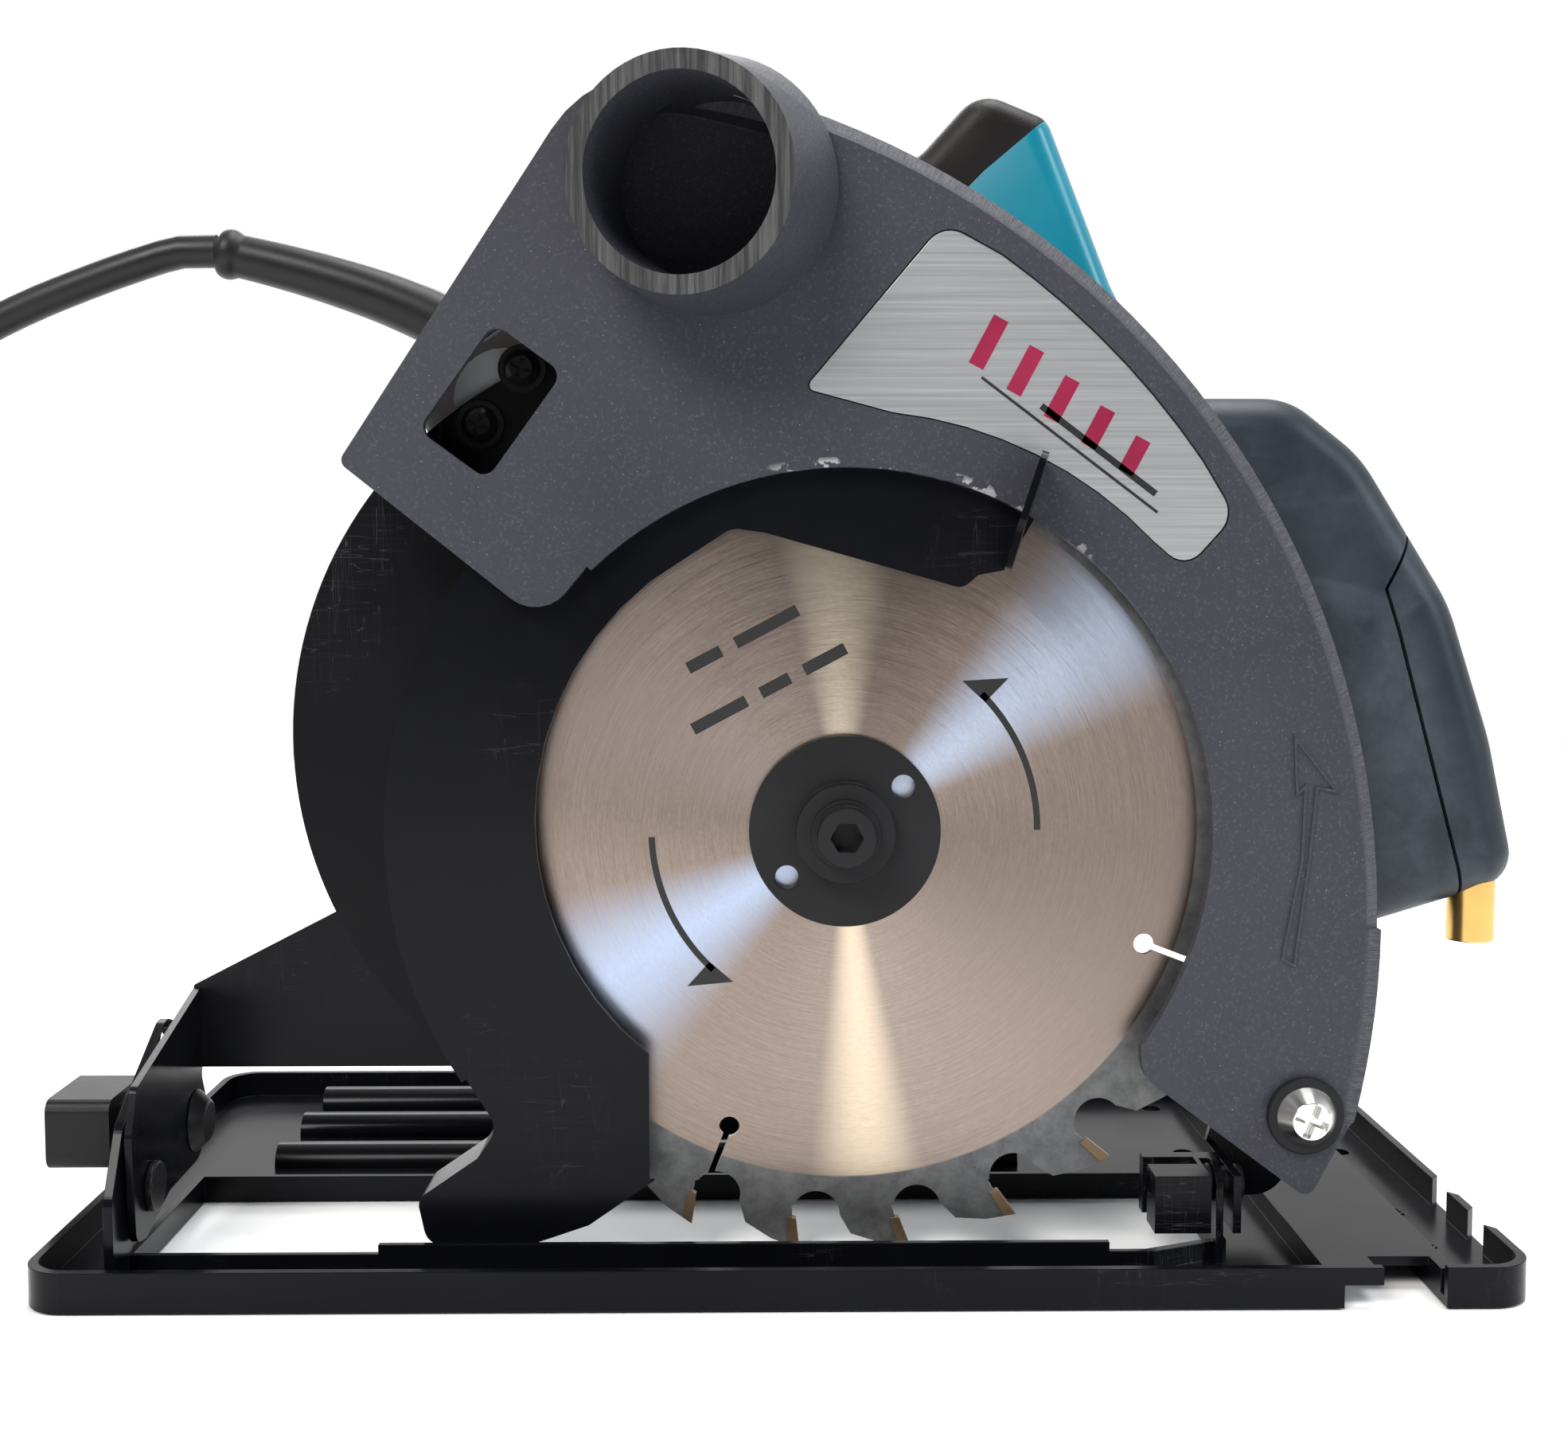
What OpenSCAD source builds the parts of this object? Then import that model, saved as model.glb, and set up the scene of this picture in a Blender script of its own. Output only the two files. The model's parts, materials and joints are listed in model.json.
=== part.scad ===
/* [Blade] */
// Blade diameter
blade_d = 185; // [180:1:188]
// Number of teeth
teeth = 24; // [18:1:30]
// Thickness of the blade's plate
plate_t = 1.4; // [1.2:0.1:1.8]
// Thickness of the carbide tips, which is the width of cut
kerf = 2.2; // [2:0.1:2.6]
// Bore of the blade
bore_d = 20; // [16:1:20]
/* [Base] */
// Length of the base plate
base_l = 310; // [300:1:320]
// Width of the base plate
base_w = 156; // [154:1:164]
// Thickness of the base plate's sheet
base_t = 2; // [1.6:0.2:2.4]
// Height of the base plate's turned-up rim
rim_h = 8.5; // [7:0.5:9]
/* [Layout] */
// Spindle ahead of the middle of the base
spindle_x = 14; // [12:1:16]
// Height of the spindle over the sole with the blade raised
spindle_z = 94.5; // [94:0.5:97]
// Blade's mid plane beside the middle of the base
blade_y = -48; // [-48.4:0.2:-47.6]
/* [Housing] */
// Outer radius of the motor housing
motor_r = 44; // [43:1:45]
// Width of the main handle
handle_w = 34; // [32:1:36]
// Diameter of the mains cord
cord_d = 8; // [7.5:0.5:8.5]

/* [Hidden] */
$fn = 96;
gap = 0.3;                       // clearance between pieces that move past each other
sheet = 1.2;                     // thickness of the lower guard's sheet
sp = [spindle_x, spindle_z];     // spindle axis in X and Z
blade_r = blade_d / 2;
guard_face_y = -59;              // outer face of the upper guard
guard_back_y = -34.5;            // back of the upper guard's casting
lower_y = [-55.7, -40.3];        // outer faces of the lower guard
lower_r = 97.5;
pivot = [111.5, 34.9];           // depth pivot in X and Z
bevel = [-52, 18];               // bevel axis in Y and Z
clamp_bolt = [-20, 23];          // bevel clamp bolt in Y and Z
quad_r = 200;                    // depth clamp bolt's distance from the depth pivot
quad_a = 145;                    // and its direction from there
quad = pivot + quad_r * [cos(quad_a), sin(quad_a)];
depth_swing = 26;
gear_module = 1;
gear_teeth = 47;
pinion_teeth = 10;
shaft_a = 75;                    // direction of the motor shaft seen from the spindle
shaft = sp + gear_module * (gear_teeth + pinion_teeth) / 2 * [cos(shaft_a), sin(shaft_a)];
handle_y = 20;                   // mid plane of the main handle
grip_y = [-46, 14];              // faces of the front grip
big_c = [-52.5, 74.5];           // centre of the upper guard's outer arc
big_r = 179.5;
arch_r = 77;                     // radius of the upper guard's open arch around the spindle

// ---- helpers ----
// Rounds the corner b of the path a-b-c with an arc of radius r
function fillet(a, b, c, r, n = 6) =
    let (u = (a - b) / norm(a - b), v = (c - b) / norm(c - b), half = acos(u * v) / 2,
         o = b + (u + v) / norm(u + v) * r / sin(half), p = b + u * r / tan(half) - o,
         q = b + v * r / tan(half) - o, s = atan2(p.y, p.x),
         turn = atan2(p.x * q.y - p.y * q.x, p * q))
    [for (i = [0:n]) o + r * [cos(s + turn * i / n), sin(s + turn * i / n)]];
// A closed outline through corners [x, y, radius]
function rounded(c) = let (n = len(c)) [for (i = [0:n - 1])
    let (a = c[(i + n - 1) % n], b = c[i], d = c[(i + 1) % n])
    each b[2] > 0 ? fillet([a.x, a.y], [b.x, b.y], [d.x, d.y], b[2]) : [[b.x, b.y]]];
// Points on an arc, with a zero corner radius
function arc(o, r, from, to, n) =
    [for (i = [0:n]) let (t = from + (to - from) * i / n) [o.x + r * cos(t), o.y + r * sin(t), 0]];
function polar(o, r, t) = o + r * [cos(t), sin(t)];

// Extrudes an X-Z outline from y0 to y1
module slab(y0, y1) translate([0, y1, 0]) rotate([90, 0, 0]) linear_extrude(y1 - y0) children();
// Extrudes a Y-Z outline from x0 to x1
module cheek(x0, x1) translate([x0, 0, 0]) rotate([90, 0, 90]) linear_extrude(x1 - x0) children();
// A cylinder along Y around the X-Z point c
module rod_y(c, r, y0, y1) translate([c.x, y1, c.y]) rotate([90, 0, 0]) cylinder(r = r, h = y1 - y0);
// A cylinder along X around the Y-Z point c
module rod_x(c, r, x0, x1) translate([x0, c.x, c.y]) rotate([0, 90, 0]) cylinder(r = r, h = x1 - x0);
module ring_y(c, r_out, r_in, y0, y1) difference() {
    rod_y(c, r_out, y0, y1);
    rod_y(c, r_in, y0 - 1, y1 + 1);
}
module spot(c, r) translate(c) circle(r);
module outline(c) polygon(rounded(c));
// Rounded rectangle around the middle of the base, in X and Y
module pad(l, w, r) translate([-l / 2 + r, -w / 2 + r]) union() {
    for (x = [0, l - 2 * r], y = [0, w - 2 * r]) translate([x, y]) circle(r);
    translate([-r, 0]) square([l, w - 2 * r]);
    translate([0, -r]) square([l - 2 * r, w]);
}
// A screw along Y with a domed, cross-slotted head whose seat is at y
module cross_screw(c, y, head_r, r, l) difference() {
    union() {
        translate([c.x, y, c.y]) rotate([90, 0, 0]) cylinder(r1 = head_r, r2 = head_r * 0.62,
            h = head_r * 0.6);
        rod_y(c, r, y, y + l);
    }
    for (t = [0, 90]) translate([c.x, y - head_r * 0.6, c.y]) rotate([0, t + 20, 0])
        cube([head_r * 1.1, head_r * 0.6, head_r * 0.24], center = true);
}
// A sealed ball bearing along Y
module bearing(c, r_in, r_out, y0, y1) {
    ring_y(c, r_out, r_out - (r_out - r_in) * 0.3, y0, y1);
    ring_y(c, r_in + (r_out - r_in) * 0.3, r_in, y0, y1);
    ring_y(c, r_out - (r_out - r_in) * 0.3, r_in + (r_out - r_in) * 0.3, y0 + 0.6, y1 - 0.6);
}

// ---- base ----
slot_x = [-137, 95];             // ends of the base's blade opening
slot_y = [-59.5, -9];            // its near and far edges
fence_x = [115, 136];            // rip-fence channel across the front of the base
module opening_2d(grow = 0) polygon([
    [slot_x[0] - grow, slot_y[0] - grow], [78 + grow, slot_y[0] - grow], [slot_x[1] + grow, -52.5 - grow],
    [slot_x[1] + grow, slot_y[1] + grow], [slot_x[0] - grow, slot_y[1] + grow]]);
// Pressed rib with round ends, as a low bar along X
module rib(x0, x1, y) intersection() {
    translate([x0, y, base_t + 0.4]) rotate([0, 90, 0]) cylinder(r = 5, h = x1 - x0);
    translate([x0, y - 6, base_t - 0.5]) cube([x1 - x0, 12, 7]);
}
module base_plate() color([0.05, 0.05, 0.06]) difference() {
    union() {
        difference() {
            linear_extrude(rim_h) pad(base_l, base_w, 9);
            translate([0, 0, base_t]) linear_extrude(rim_h) pad(base_l - 4, base_w - 4, 7.5);
        }
        linear_extrude(6) opening_2d(1.6);
        translate([-85, slot_y[0] - 1.6, 0]) cube([155, 1.6, 8]);
        for (y = [14, 40, 65]) rib(-125, 60, y);
        // arch over the rip-fence channel
        translate([fence_x[0] - 3, -base_w / 2 + 4, 0]) cube([fence_x[1] - fence_x[0] + 6, base_w - 8,
            6.8]);
        // ears for the bevel pivots
        cheek(-139.6, -137.6) outline([[-70, 0, 0], [-59.5, 0, 0], [-58, 9, 3], [-15, 15, 6], [-11, 27, 6],
            [-23, 47, 6], [-32, 50, 6], [-62, 34, 8], [-70, 20, 6]]);
        cheek(93.4, 95) outline([[-58.2, 0, 0], [-45.8, 0, 0], [-46.8, 23, 5], [-57.2, 23, 5]]);
    }
    translate([0, 0, -1]) linear_extrude(12) opening_2d();
    // underside of the rip-fence channel, open through both rims
    translate([fence_x[0], -base_w, -1]) cube([fence_x[1] - fence_x[0], 2 * base_w, 5.8]);
    translate([fence_x[0] + 8, -base_w / 2 - 1, -1]) cube([fence_x[1] - fence_x[0] - 8, 12, 12]);
    // sight notches for square and tilted cuts
    for (y = [blade_y, -26]) translate([base_l / 2 + 1, y, base_t]) linear_extrude(8)
        polygon([[0, -8], [0, 8], [-5.5, 1.5], [-5.5, -1.5]]);
    // pivot holes and the arc slot of the bevel clamp
    rod_x(bevel, 2.55, -145, 99);
    cheek(-141, -136) for (t = [0:3:48]) spot(polar(bevel, norm(clamp_bolt - bevel), 7 + t), 3.6);
    for (x = [104, 144], y = [20, 60]) translate([x, y, -1]) cylinder(r = 2.5, h = 5);
}

// ---- depth carriage ----
module rear_bracket() color([0.05, 0.05, 0.06]) difference() {
    union() {
        cheek(-136.9, -135.3) outline([[-62.4, 9, 3], [-64, 32, 3], [-60, 41.5, 2], [-12, 53.5, 0],
            [-12, 36, 2], [-15, 33, 3], [-10.5, 24, 6], [-17, 13.5, 6], [-40, 13, 10], [-56, 8, 5]]);
        slab(-14, -12) difference() {
            polygon(concat([[-136.9, 34], [-136.9, 53.5], [-101, 72]],
                [for (t = [169:-2:143]) polar(pivot, 210, t)], [for (t = [143:2:177]) polar(pivot, 190, t)],
                [[-72, 34]]));
            polygon(concat([for (t = [quad_a - 2:2:quad_a + depth_swing + 2]) polar(pivot, 196.2, t)],
                [for (t = [quad_a + depth_swing + 2:-2:quad_a - 2]) polar(pivot, 203.8, t)]));
        }
    }
    rod_x(bevel, 2.55, -140, -130);
    rod_x(clamp_bolt, 3.05, -140, -130);
}
module front_bracket() color([0.05, 0.05, 0.06]) difference() {
    union() {
        // channel that straddles the base's front ear
        difference() {
            translate([80, -59, 9]) cube([18.5, 17, 12.5]);
            translate([81.8, -57.2, 8]) cube([14.9, 20, 11.7]);
            translate([92.1, -60, 8]) cube([4.6, 13.5, 20]);
            translate([79, -50.4, 8]) cube([12, 4.8, 20]);
        }
        cheek(96.7, 98.5) polygon([[-59, 9], [-32, 9], [-32, 21.5], [-59, 21.5]]);
        slab(-34, -32) outline([[96.7, 9, 0], [112, 9, 8], [124, 30, 8], [119, 45, 9], [103, 43, 9],
            [96.7, 21.5, 0]]);
    }
    rod_x(bevel, 2.55, 75, 99);
    rod_y(pivot, 4.05, -36, -30);
}
module bevel_rivets() color([0.3, 0.3, 0.32]) {
    for (x = [[-141.4, -135.3, -133.7, 5.4], [92.3, 98.5, 100, 3.9]]) {
        rod_x(bevel, 2.5, x[0], x[2]);
        rod_x(bevel, x[3], x[1], x[2]);
        rod_x(bevel, 4, x[0], x[0] + 1);
    }
}
module bevel_bolt() color([0.35, 0.35, 0.37]) {
    rod_x(clamp_bolt, 3, -158, -135.2);
    translate([-135.2, clamp_bolt.x, clamp_bolt.y]) rotate([0, 90, 0]) cylinder(r1 = 7.4, r2 = 4.6,
        h = 3.2);
}
module bevel_knob() color([0.12, 0.1, 0.09]) difference() {
    union() {
        rod_x(clamp_bolt, 8.8, -146, -140);
        rod_x(clamp_bolt, 7, -152, -145);
        cheek(-165.5, -151) outline([[-32.5, 15, 3], [-7.5, 15, 3], [-7.5, 31, 3], [-32.5, 31, 3]]);
    }
    rod_x(clamp_bolt, 3.05, -158.5, -130);
}
module depth_screw() color([0.75, 0.75, 0.76]) {
    cross_screw(pivot, guard_face_y - 2, 6.4, 4, 32);
    rod_y(pivot, 6, -31.8, -28);
}
module pivot_collar() color([0.1, 0.1, 0.11]) ring_y(pivot, 8.2, 4.05, guard_face_y - 2, guard_face_y);
module depth_bolt() color([0.6, 0.6, 0.62]) {
    rod_y(quad, 3.5, -17.4, -3);
    rod_y(quad, 6.5, -17.6, -14.4);
}
module depth_lever() color([0.06, 0.06, 0.07]) difference() {
    union() {
        rod_y(quad, 9, -11.6, -1);
        slab(-9, -3) hull() {
            spot(quad, 7, $fn = 32);
            spot(polar(quad, 42, 195), 5, $fn = 32);
        }
    }
    rod_y(quad, 3.55, -13, -3);
}

// ---- upper guard ----
port_base = [-14.9, -60, 228.1];  // centre of the dust port's root
port_turn = [95.4, 0, -10.9];     // the port leans back and slightly down
port_r = 19;                      // bore of the dust port
port_l = 25;
window_c = [-59.6, 184.8];
window_a = 54;
module guard_2d() difference() {
    intersection() {
        spot(big_c, big_r, $fn = 180);
        outline([[-91, 172.4, 2], [-38, 252.6, 26], [0, 249.2, 0], [150, 262, 0], [150, 34.3, 0],
            [122.2, 34.3, 5],
            [112.8, 16.3, 2.5], [77, 43, 7], [76.2, 52, 0], [60, 70, 0], [14, 94.5, 0], [-40, 151, 0],
            [-49.6, 139.4, 8]]);
    }
    spot(sp, arch_r);
}
label_edge = concat([[4.6, 187.4, 1.5], [33.6, 221.5, 6]], arc(big_c, 171.4, 55, 35, 7),
    [[94.8, 161.5, 6], [84.5, 150, 5]], arc([14, 94.5], 88.4, 44, 84, 8));
module window_2d() translate(window_c) rotate(window_a)
    translate([-13.5, -8.7]) offset(3) translate([3, 3]) square([21, 11.4]);
// Half-headed arrow showing which way the blade turns
arrow_edge = [[107.6, 116], [117.6, 103.5], [113, 104.3], [111.7, 89.4], [108.9, 66.4], [105.8, 68.2],
    [109.6, 89.4], [110, 104.3], [108.3, 102.8]];
post_c = [polar(sp, 104.8, 27), [30, 200], [-52, 218]];   // posts screwed to the gear housing
module upper_guard() color([0.2, 0.2, 0.22]) difference() {
    union() {
        difference() {
            slab(guard_face_y, guard_back_y) guard_2d();
            // hollow for the blade and the lower guard
            slab(guard_face_y + 2.8, guard_back_y - 3) union() {
                offset(delta = -3) guard_2d();
                spot(sp, 101);
            }
            // the back wall stops short of the rear, where the shield takes over
            slab(guard_back_y - 4.8, guard_back_y + 1) union() {
                polygon([[-40, 120], [-34, 168], [-46, 212], [-70, 196], [-89, 171], [-60, 130]]);
                intersection() {
                    spot(sp, 101);
                    translate([20, 20]) square([90, 75]);
                }
            }
        }
        // back wall around the spindle
        slab(guard_back_y - 3, guard_back_y) difference() {
            union() {
                spot(sp, 62);
                intersection() {
                    spot(sp, 80);
                    polygon([sp, polar(sp, 150, 27), polar(sp, 200, 80), polar(sp, 150, 126)]);
                }
            }
            spot(sp, 30);
        }
        translate(port_base) rotate(port_turn) translate([0, 0, -4]) cylinder(r1 = 26.6, r2 = 22.8,
            h = port_l + 4);
        for (c = post_c) rod_y(c, 5, guard_face_y + 2, guard_back_y);
        rod_y(pivot, 9, guard_face_y, guard_back_y);
        slab(guard_face_y - 0.4, guard_face_y + 0.5) difference() {
            polygon(arrow_edge);
            offset(delta = -0.6) polygon(arrow_edge);
        }
    }
    translate(port_base) rotate(port_turn) translate([0, 0, -16]) cylinder(r = port_r, h = 60);
    slab(guard_face_y - 1, guard_face_y + 0.8) outline(label_edge);
    slab(guard_face_y - 1, guard_face_y + 5) window_2d();
    // bevelled front corner of the outer arc
    translate([big_c.x, guard_face_y, big_c.y]) rotate([90, 0, 0]) rotate_extrude(angle = 76, $fn = 180)
        polygon([[big_r - 3.2, 0.01], [big_r + 1, 0.01], [big_r + 1, -3.6]]);
    rod_y(pivot, 4.02, -62, -30);
    for (c = post_c) rod_y(c, 2.02, -46, -30);
}
module label_plate() color([0.78, 0.78, 0.78]) slab(guard_face_y + 0.2, guard_face_y + 0.8)
    offset(delta = -0.3) outline(label_edge);
shield_screws_c = [[-64.6, 181.6], [-55.4, 193.6]];
module rear_shield() color([0.05, 0.05, 0.06]) slab(-39, -37.8) difference() {
    intersection() {
        spot([-18.2, 113.5], 88.2);
        outline([[-72, 199, 3], [-50, 206, 3], [-26, 190, 6], [-34, 150, 20], [-45, 96, 20], [-20, 58,
            9], [-28, 49, 4],
            [-80, 46, 5], [-115, 70, 0], [-115, 150, 0], [-90, 165, 4]]);
    }
    for (c = shield_screws_c) spot(c, 2.1);
}
module shield_screws() color([0.3, 0.3, 0.31]) for (c = shield_screws_c) {
    cross_screw(c, -40.2, 4, 2, 7);
    ring_y(c, 5.2, 2.1, -40.1, -39);
}

// ---- lower guard ----
module lower_2d() union() {
    intersection() {
        spot(sp, lower_r, $fn = 180);
        polygon([sp, polar(sp, 130, 59.4), polar(sp, 140, 90), [-140, 235], [-140, 94], polar(sp, 140,
            213), sp]);
    }
    outline([[-20, 60, 0], polar3(80, 205), polar3(lower_r - 1.2, 211.5), [-60.2, 31.5, 5], [-64.5, 25, 4],
        [-77.6, 16, 3], [-75.5, 6, 4], [-54.5, 5.6, 24], [-40.9, 10.2, 0], [-25.5, 20.9, 2], [-25.1,
            47, 0]]);
}
function polar3(r, t) = [sp.x + r * cos(t), sp.y + r * sin(t), 0];
module lower_guard() color([0.04, 0.04, 0.05]) difference() {
    union() {
        difference() {
            slab(lower_y[0], lower_y[1]) lower_2d();
            // channel between the walls, open at both ends and towards the spindle
            slab(lower_y[0] + sheet, lower_y[1] - sheet) union() {
                offset(delta = -sheet) lower_2d();
                spot([12.6, 97.3], 63.4);
                polygon([[-26.6, 22], [-20, 18], [-20, 60], [-26.6, 60]]);
                spot([-40, 60], 4.2);
                intersection() {
                    spot(sp, 93.8);
                    translate([-36, 5]) square([16, 30]);
                }
                polygon([polar(sp, 20, 62), polar(sp, 96.3, 60.3), polar(sp, 110, 56), polar(sp, 20, 40)]);
            }
            // front wall's open middle
            slab(lower_y[0] - 1, lower_y[0] + sheet + 0.1) outline(concat(
                arc([12.6, 97.3], 64.3, 231, 128, 14), [[-10, 159, 5], [-3, 158, 4], [38.4, 146.4, 3],
                    [41.6, 149.2, 1.5],
                [47, 150.2, 0], [60, 140, 0], [20, 20, 0], [-27.9, 20, 0]]));
        }
        // hub plate on the motor side
        slab(lower_y[1] - sheet, lower_y[1]) intersection() {
            spot(sp, 66);
            union() {
                spot(sp, 31);
                polygon([sp, polar(sp, 90, 62), polar(sp, 120, 110), polar(sp, 120, 190), polar(sp, 90,
                    236)]);
            }
        }
        rod_y(sp, 29, lower_y[1] - 0.1, lower_y[1] + 1.6);
        thumb_lever();
    }
    rod_y(sp, 22.06, -60, -30);
}
// Thumb lever folded out of the lower guard's upper end
module thumb_lever() difference() {
    translate([47.2, lower_y[0], 150.4]) rotate([0, 18, 0]) rotate([0, 0, -8]) translate([0, -21, 0])
        rotate([90, 0, 90]) linear_extrude(1.4) outline([[0, 8, 4], [0, 24, 3.5], [17.2, 24, 0.5],
            [17.2, 12, 1.5],
            [22.1, 12, 0], [22.1, 0, 0], [12, 0, 3]]);
    slab(-59.6, -55) difference() {
        spot(sp, 120);
        spot(sp, 76);
    }
}
module guard_spring() color([0.55, 0.55, 0.56]) helix(sp, 25.4, 0.8, 1.75, 1.25, -37.7);
// Coil of round wire around the Y axis through c
module helix(c, r, wire, pitch, turns, y0) {
    steps = 24 * turns;
    sides = 8;
    points = [for (i = [0:steps], j = [0:sides - 1])
        let (t = 15 * i, s = r + wire * cos(45 * j))
        [c.x + s * cos(t), y0 + pitch * i / 24 + wire * sin(45 * j), c.y + s * sin(t)]];
    polyhedron(points, concat(
        [[for (j = [0:sides - 1]) j]], [[for (j = [sides - 1:-1:0]) steps * sides + j]],
        [for (i = [0:steps - 1], j = [0:sides - 1])
            let (k = (j + 1) % sides) [i * sides + j, (i + 1) * sides + j, (i + 1) * sides + k,
                i * sides + k]]));
}

// ---- spindle and blade ----
module gullet() union() {
    polygon([polar([0, 0], 92.6, -15), polar([0, 0], 83.4, -16.9), polar([0, 0], 80.4, -13.4),
        polar([0, 0], 84.6, -9.6), polar([0, 0], 88.8, -8), polar([0, 0], 91.2, -4), polar([0, 0],
            92.54, -0.25),
        polar([0, 0], 98, -0.2), polar([0, 0], 98, -15)] * (blade_r / 92.5));
    spot(polar([0, 0], 84.7 * blade_r / 92.5, -13.1), 5.2);
}
module blade_2d() difference() {
    circle(blade_r, $fn = 180);
    circle(bore_d / 2 + 0.02);
    for (i = [0:teeth - 1]) rotate(360 / teeth * i + 9) gullet();
    // expansion slots, each from a small hole to the nearest gullet
    for (i = [0:3]) rotate(69 + 90 * i) {
        translate([69.5, 0]) circle(2.2);
        translate([69.5, -0.7]) square([13.5, 1.4]);
    }
}
module blade() color([0.72, 0.7, 0.68]) translate([sp.x, 0, sp.y]) slab(blade_y - plate_t / 2,
    blade_y + plate_t / 2)
    difference() {
        blade_2d();
        for (i = [0:teeth - 1]) rotate(360 / teeth * i + 9) tip_2d();
    }
module tip_2d() polygon([polar([0, 0], blade_r, 0), polar([0, 0], blade_r - 6.5, -0.95),
    polar([0, 0], blade_r - 6.7, -2.2), polar([0, 0], blade_r - 0.6, -1.5)]);
module carbide_tips() color([0.5, 0.4, 0.28]) translate([sp.x, 0, sp.y])
    for (i = [0:teeth - 1]) rotate([0, -(360 / teeth * i + 9), 0]) slab(blade_y - kerf / 2,
        blade_y + kerf / 2) tip_2d();
flange_out_y = blade_y - plate_t / 2;
flange_in_y = blade_y + plate_t / 2;
module outer_flange() color([0.08, 0.08, 0.09]) difference() {
    union() {
        rod_y(sp, 20.5, flange_out_y - 3, flange_out_y);
        rod_y(sp, 10.6, flange_out_y - 7, flange_out_y - 2.9);
    }
    rod_y(sp, 4.1, -60, -40);
    for (t = [38, 218]) rod_y(polar(sp, 15.8, t), 2.5, -60, -40);
}
module inner_flange() color([0.3, 0.3, 0.31]) difference() {
    union() {
        rod_y(sp, 20, flange_in_y, -42.2);
        rod_y(sp, bore_d / 2, flange_out_y + 0.1, flange_in_y + 0.1);
    }
    rod_y(sp, 7.52, -60, -40);
}
module blade_bolt() color([0.1, 0.1, 0.11]) difference() {
    union() {
        rod_y(sp, 7.4, flange_out_y - 8.4, flange_out_y - 7);
        rod_y(sp, 6.2, flange_out_y - 13.4, flange_out_y - 8.3);
        rod_y(sp, 3.95, flange_out_y - 7.1, -26);
    }
    rod_y(sp, 3.47, -64, flange_out_y - 8.9, $fn = 6);
}
module spindle() color([0.6, 0.6, 0.62]) difference() {
    union() {
        rod_y(sp, 7.5, -48.4, -28);
        rod_y(sp, 9, -29.9, -27.9);
        rod_y(sp, 6, -28, -13.5);
        rod_y(sp, 4, -14, -6.2);
    }
    rod_y(sp, 4, -60, -25);
}
// Spur gear with straight-flanked teeth; thin is the share of the tooth left after backlash
module gear_2d(n, bore, start) let (r = gear_module * n / 2, p = 360 / n) difference() {
    polygon([for (i = [0:n - 1]) let (a = start + p * i)
        each [polar([0, 0], r - 1.2, a - 0.26 * p), polar([0, 0], r, a - 0.19 * p), polar([0, 0],
            r + 0.85, a - 0.08 * p),
            polar([0, 0], r + 0.85, a + 0.08 * p), polar([0, 0], r, a + 0.19 * p), polar([0, 0],
                r - 1.2, a + 0.26 * p)]]);
    if (bore > 0) circle(bore);
}
module spindle_gear() color([0.5, 0.48, 0.42]) translate([sp.x, 0, sp.y])
    slab(-27.6, -17) gear_2d(gear_teeth, 6, shaft_a);
module spindle_bearings() color([0.65, 0.65, 0.67]) {
    bearing(sp, 7.53, 17.5, -41.2, -30.2);
    bearing(sp, 4.03, 11, -13.4, -6.4);
}

// ---- motor ----
module armature_shaft() color([0.6, 0.6, 0.62]) {
    translate([shaft.x, 0, shaft.y]) slab(-28, -16.5) gear_2d(pinion_teeth, 0,
        shaft_a + 180 + 180 / pinion_teeth);
    rod_y(shaft, 6, -14.6, 6);
    rod_y(shaft, 3.8, -16.6, -14.5);
    rod_y(shaft, 5, 5.9, 100);
    rod_y(shaft, 4, 99.9, 112);
}
module armature_core() color([0.35, 0.33, 0.32]) difference() {
    union() {
        slab(24, 72) difference() {
            spot(shaft, 23.2);
            spot(shaft, 5);
            for (t = [0:30:330]) translate(shaft) rotate(t) translate([17, -1.2]) square([8, 2.4]);
        }
    }
}
module armature_windings() color([0.6, 0.32, 0.14]) {
    ring_y(shaft, 19, 5, 17, 23.9);
    ring_y(shaft, 19, 5, 72.1, 79);
    for (t = [0:30:330]) translate([shaft.x, 0, shaft.y]) rotate([0, -t, 0])
        translate([17.1, 23.8, -1.1]) cube([4.5, 48.4, 2.2]);
}
module commutator() color([0.7, 0.42, 0.2]) slab(80, 94) difference() {
    spot(shaft, 12);
    spot(shaft, 5);
    for (t = [0:15:345]) translate(shaft) rotate(t) translate([10.5, -0.25]) square([3, 0.5]);
}
module cooling_fan() color([0.1, 0.1, 0.1]) difference() {
    union() {
        rod_y(shaft, 36, 13, 14.6);
        rod_y(shaft, 11, 7, 14);
        for (t = [0:30:330]) translate([shaft.x, 0, shaft.y]) rotate([0, -t, 0]) translate([9, 6,
            -0.8]) cube([26.5, 8, 1.6]);
    }
    rod_y(shaft, 5, 5, 20);
}
module stator() color([0.4, 0.38, 0.36]) slab(24, 72) difference() {
    spot(shaft, 38.8);
    spot(shaft, 24);
    for (t = [0, 180]) translate(shaft) rotate(t) translate([-15, 29]) square([30, 6]);
}
module field_coils() color([0.62, 0.33, 0.14]) for (t = [0, 180])
    translate([shaft.x, 0, shaft.y]) rotate([0, t, 0]) translate([-14.8, 19, 29.2]) cube([29.6, 58, 5.6]);
module armature_bearings() color([0.65, 0.65, 0.67]) {
    bearing(shaft, 6.03, 13, -10, -2.2);
    bearing(shaft, 4.03, 11, 103, 110);
}
module carbon_brushes() color([0.16, 0.16, 0.17]) for (s = [-1, 1])
    translate([shaft.x + s * 22 - 9.7, 83, shaft.y - 3]) cube([19.4, 8, 6]);
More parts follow.
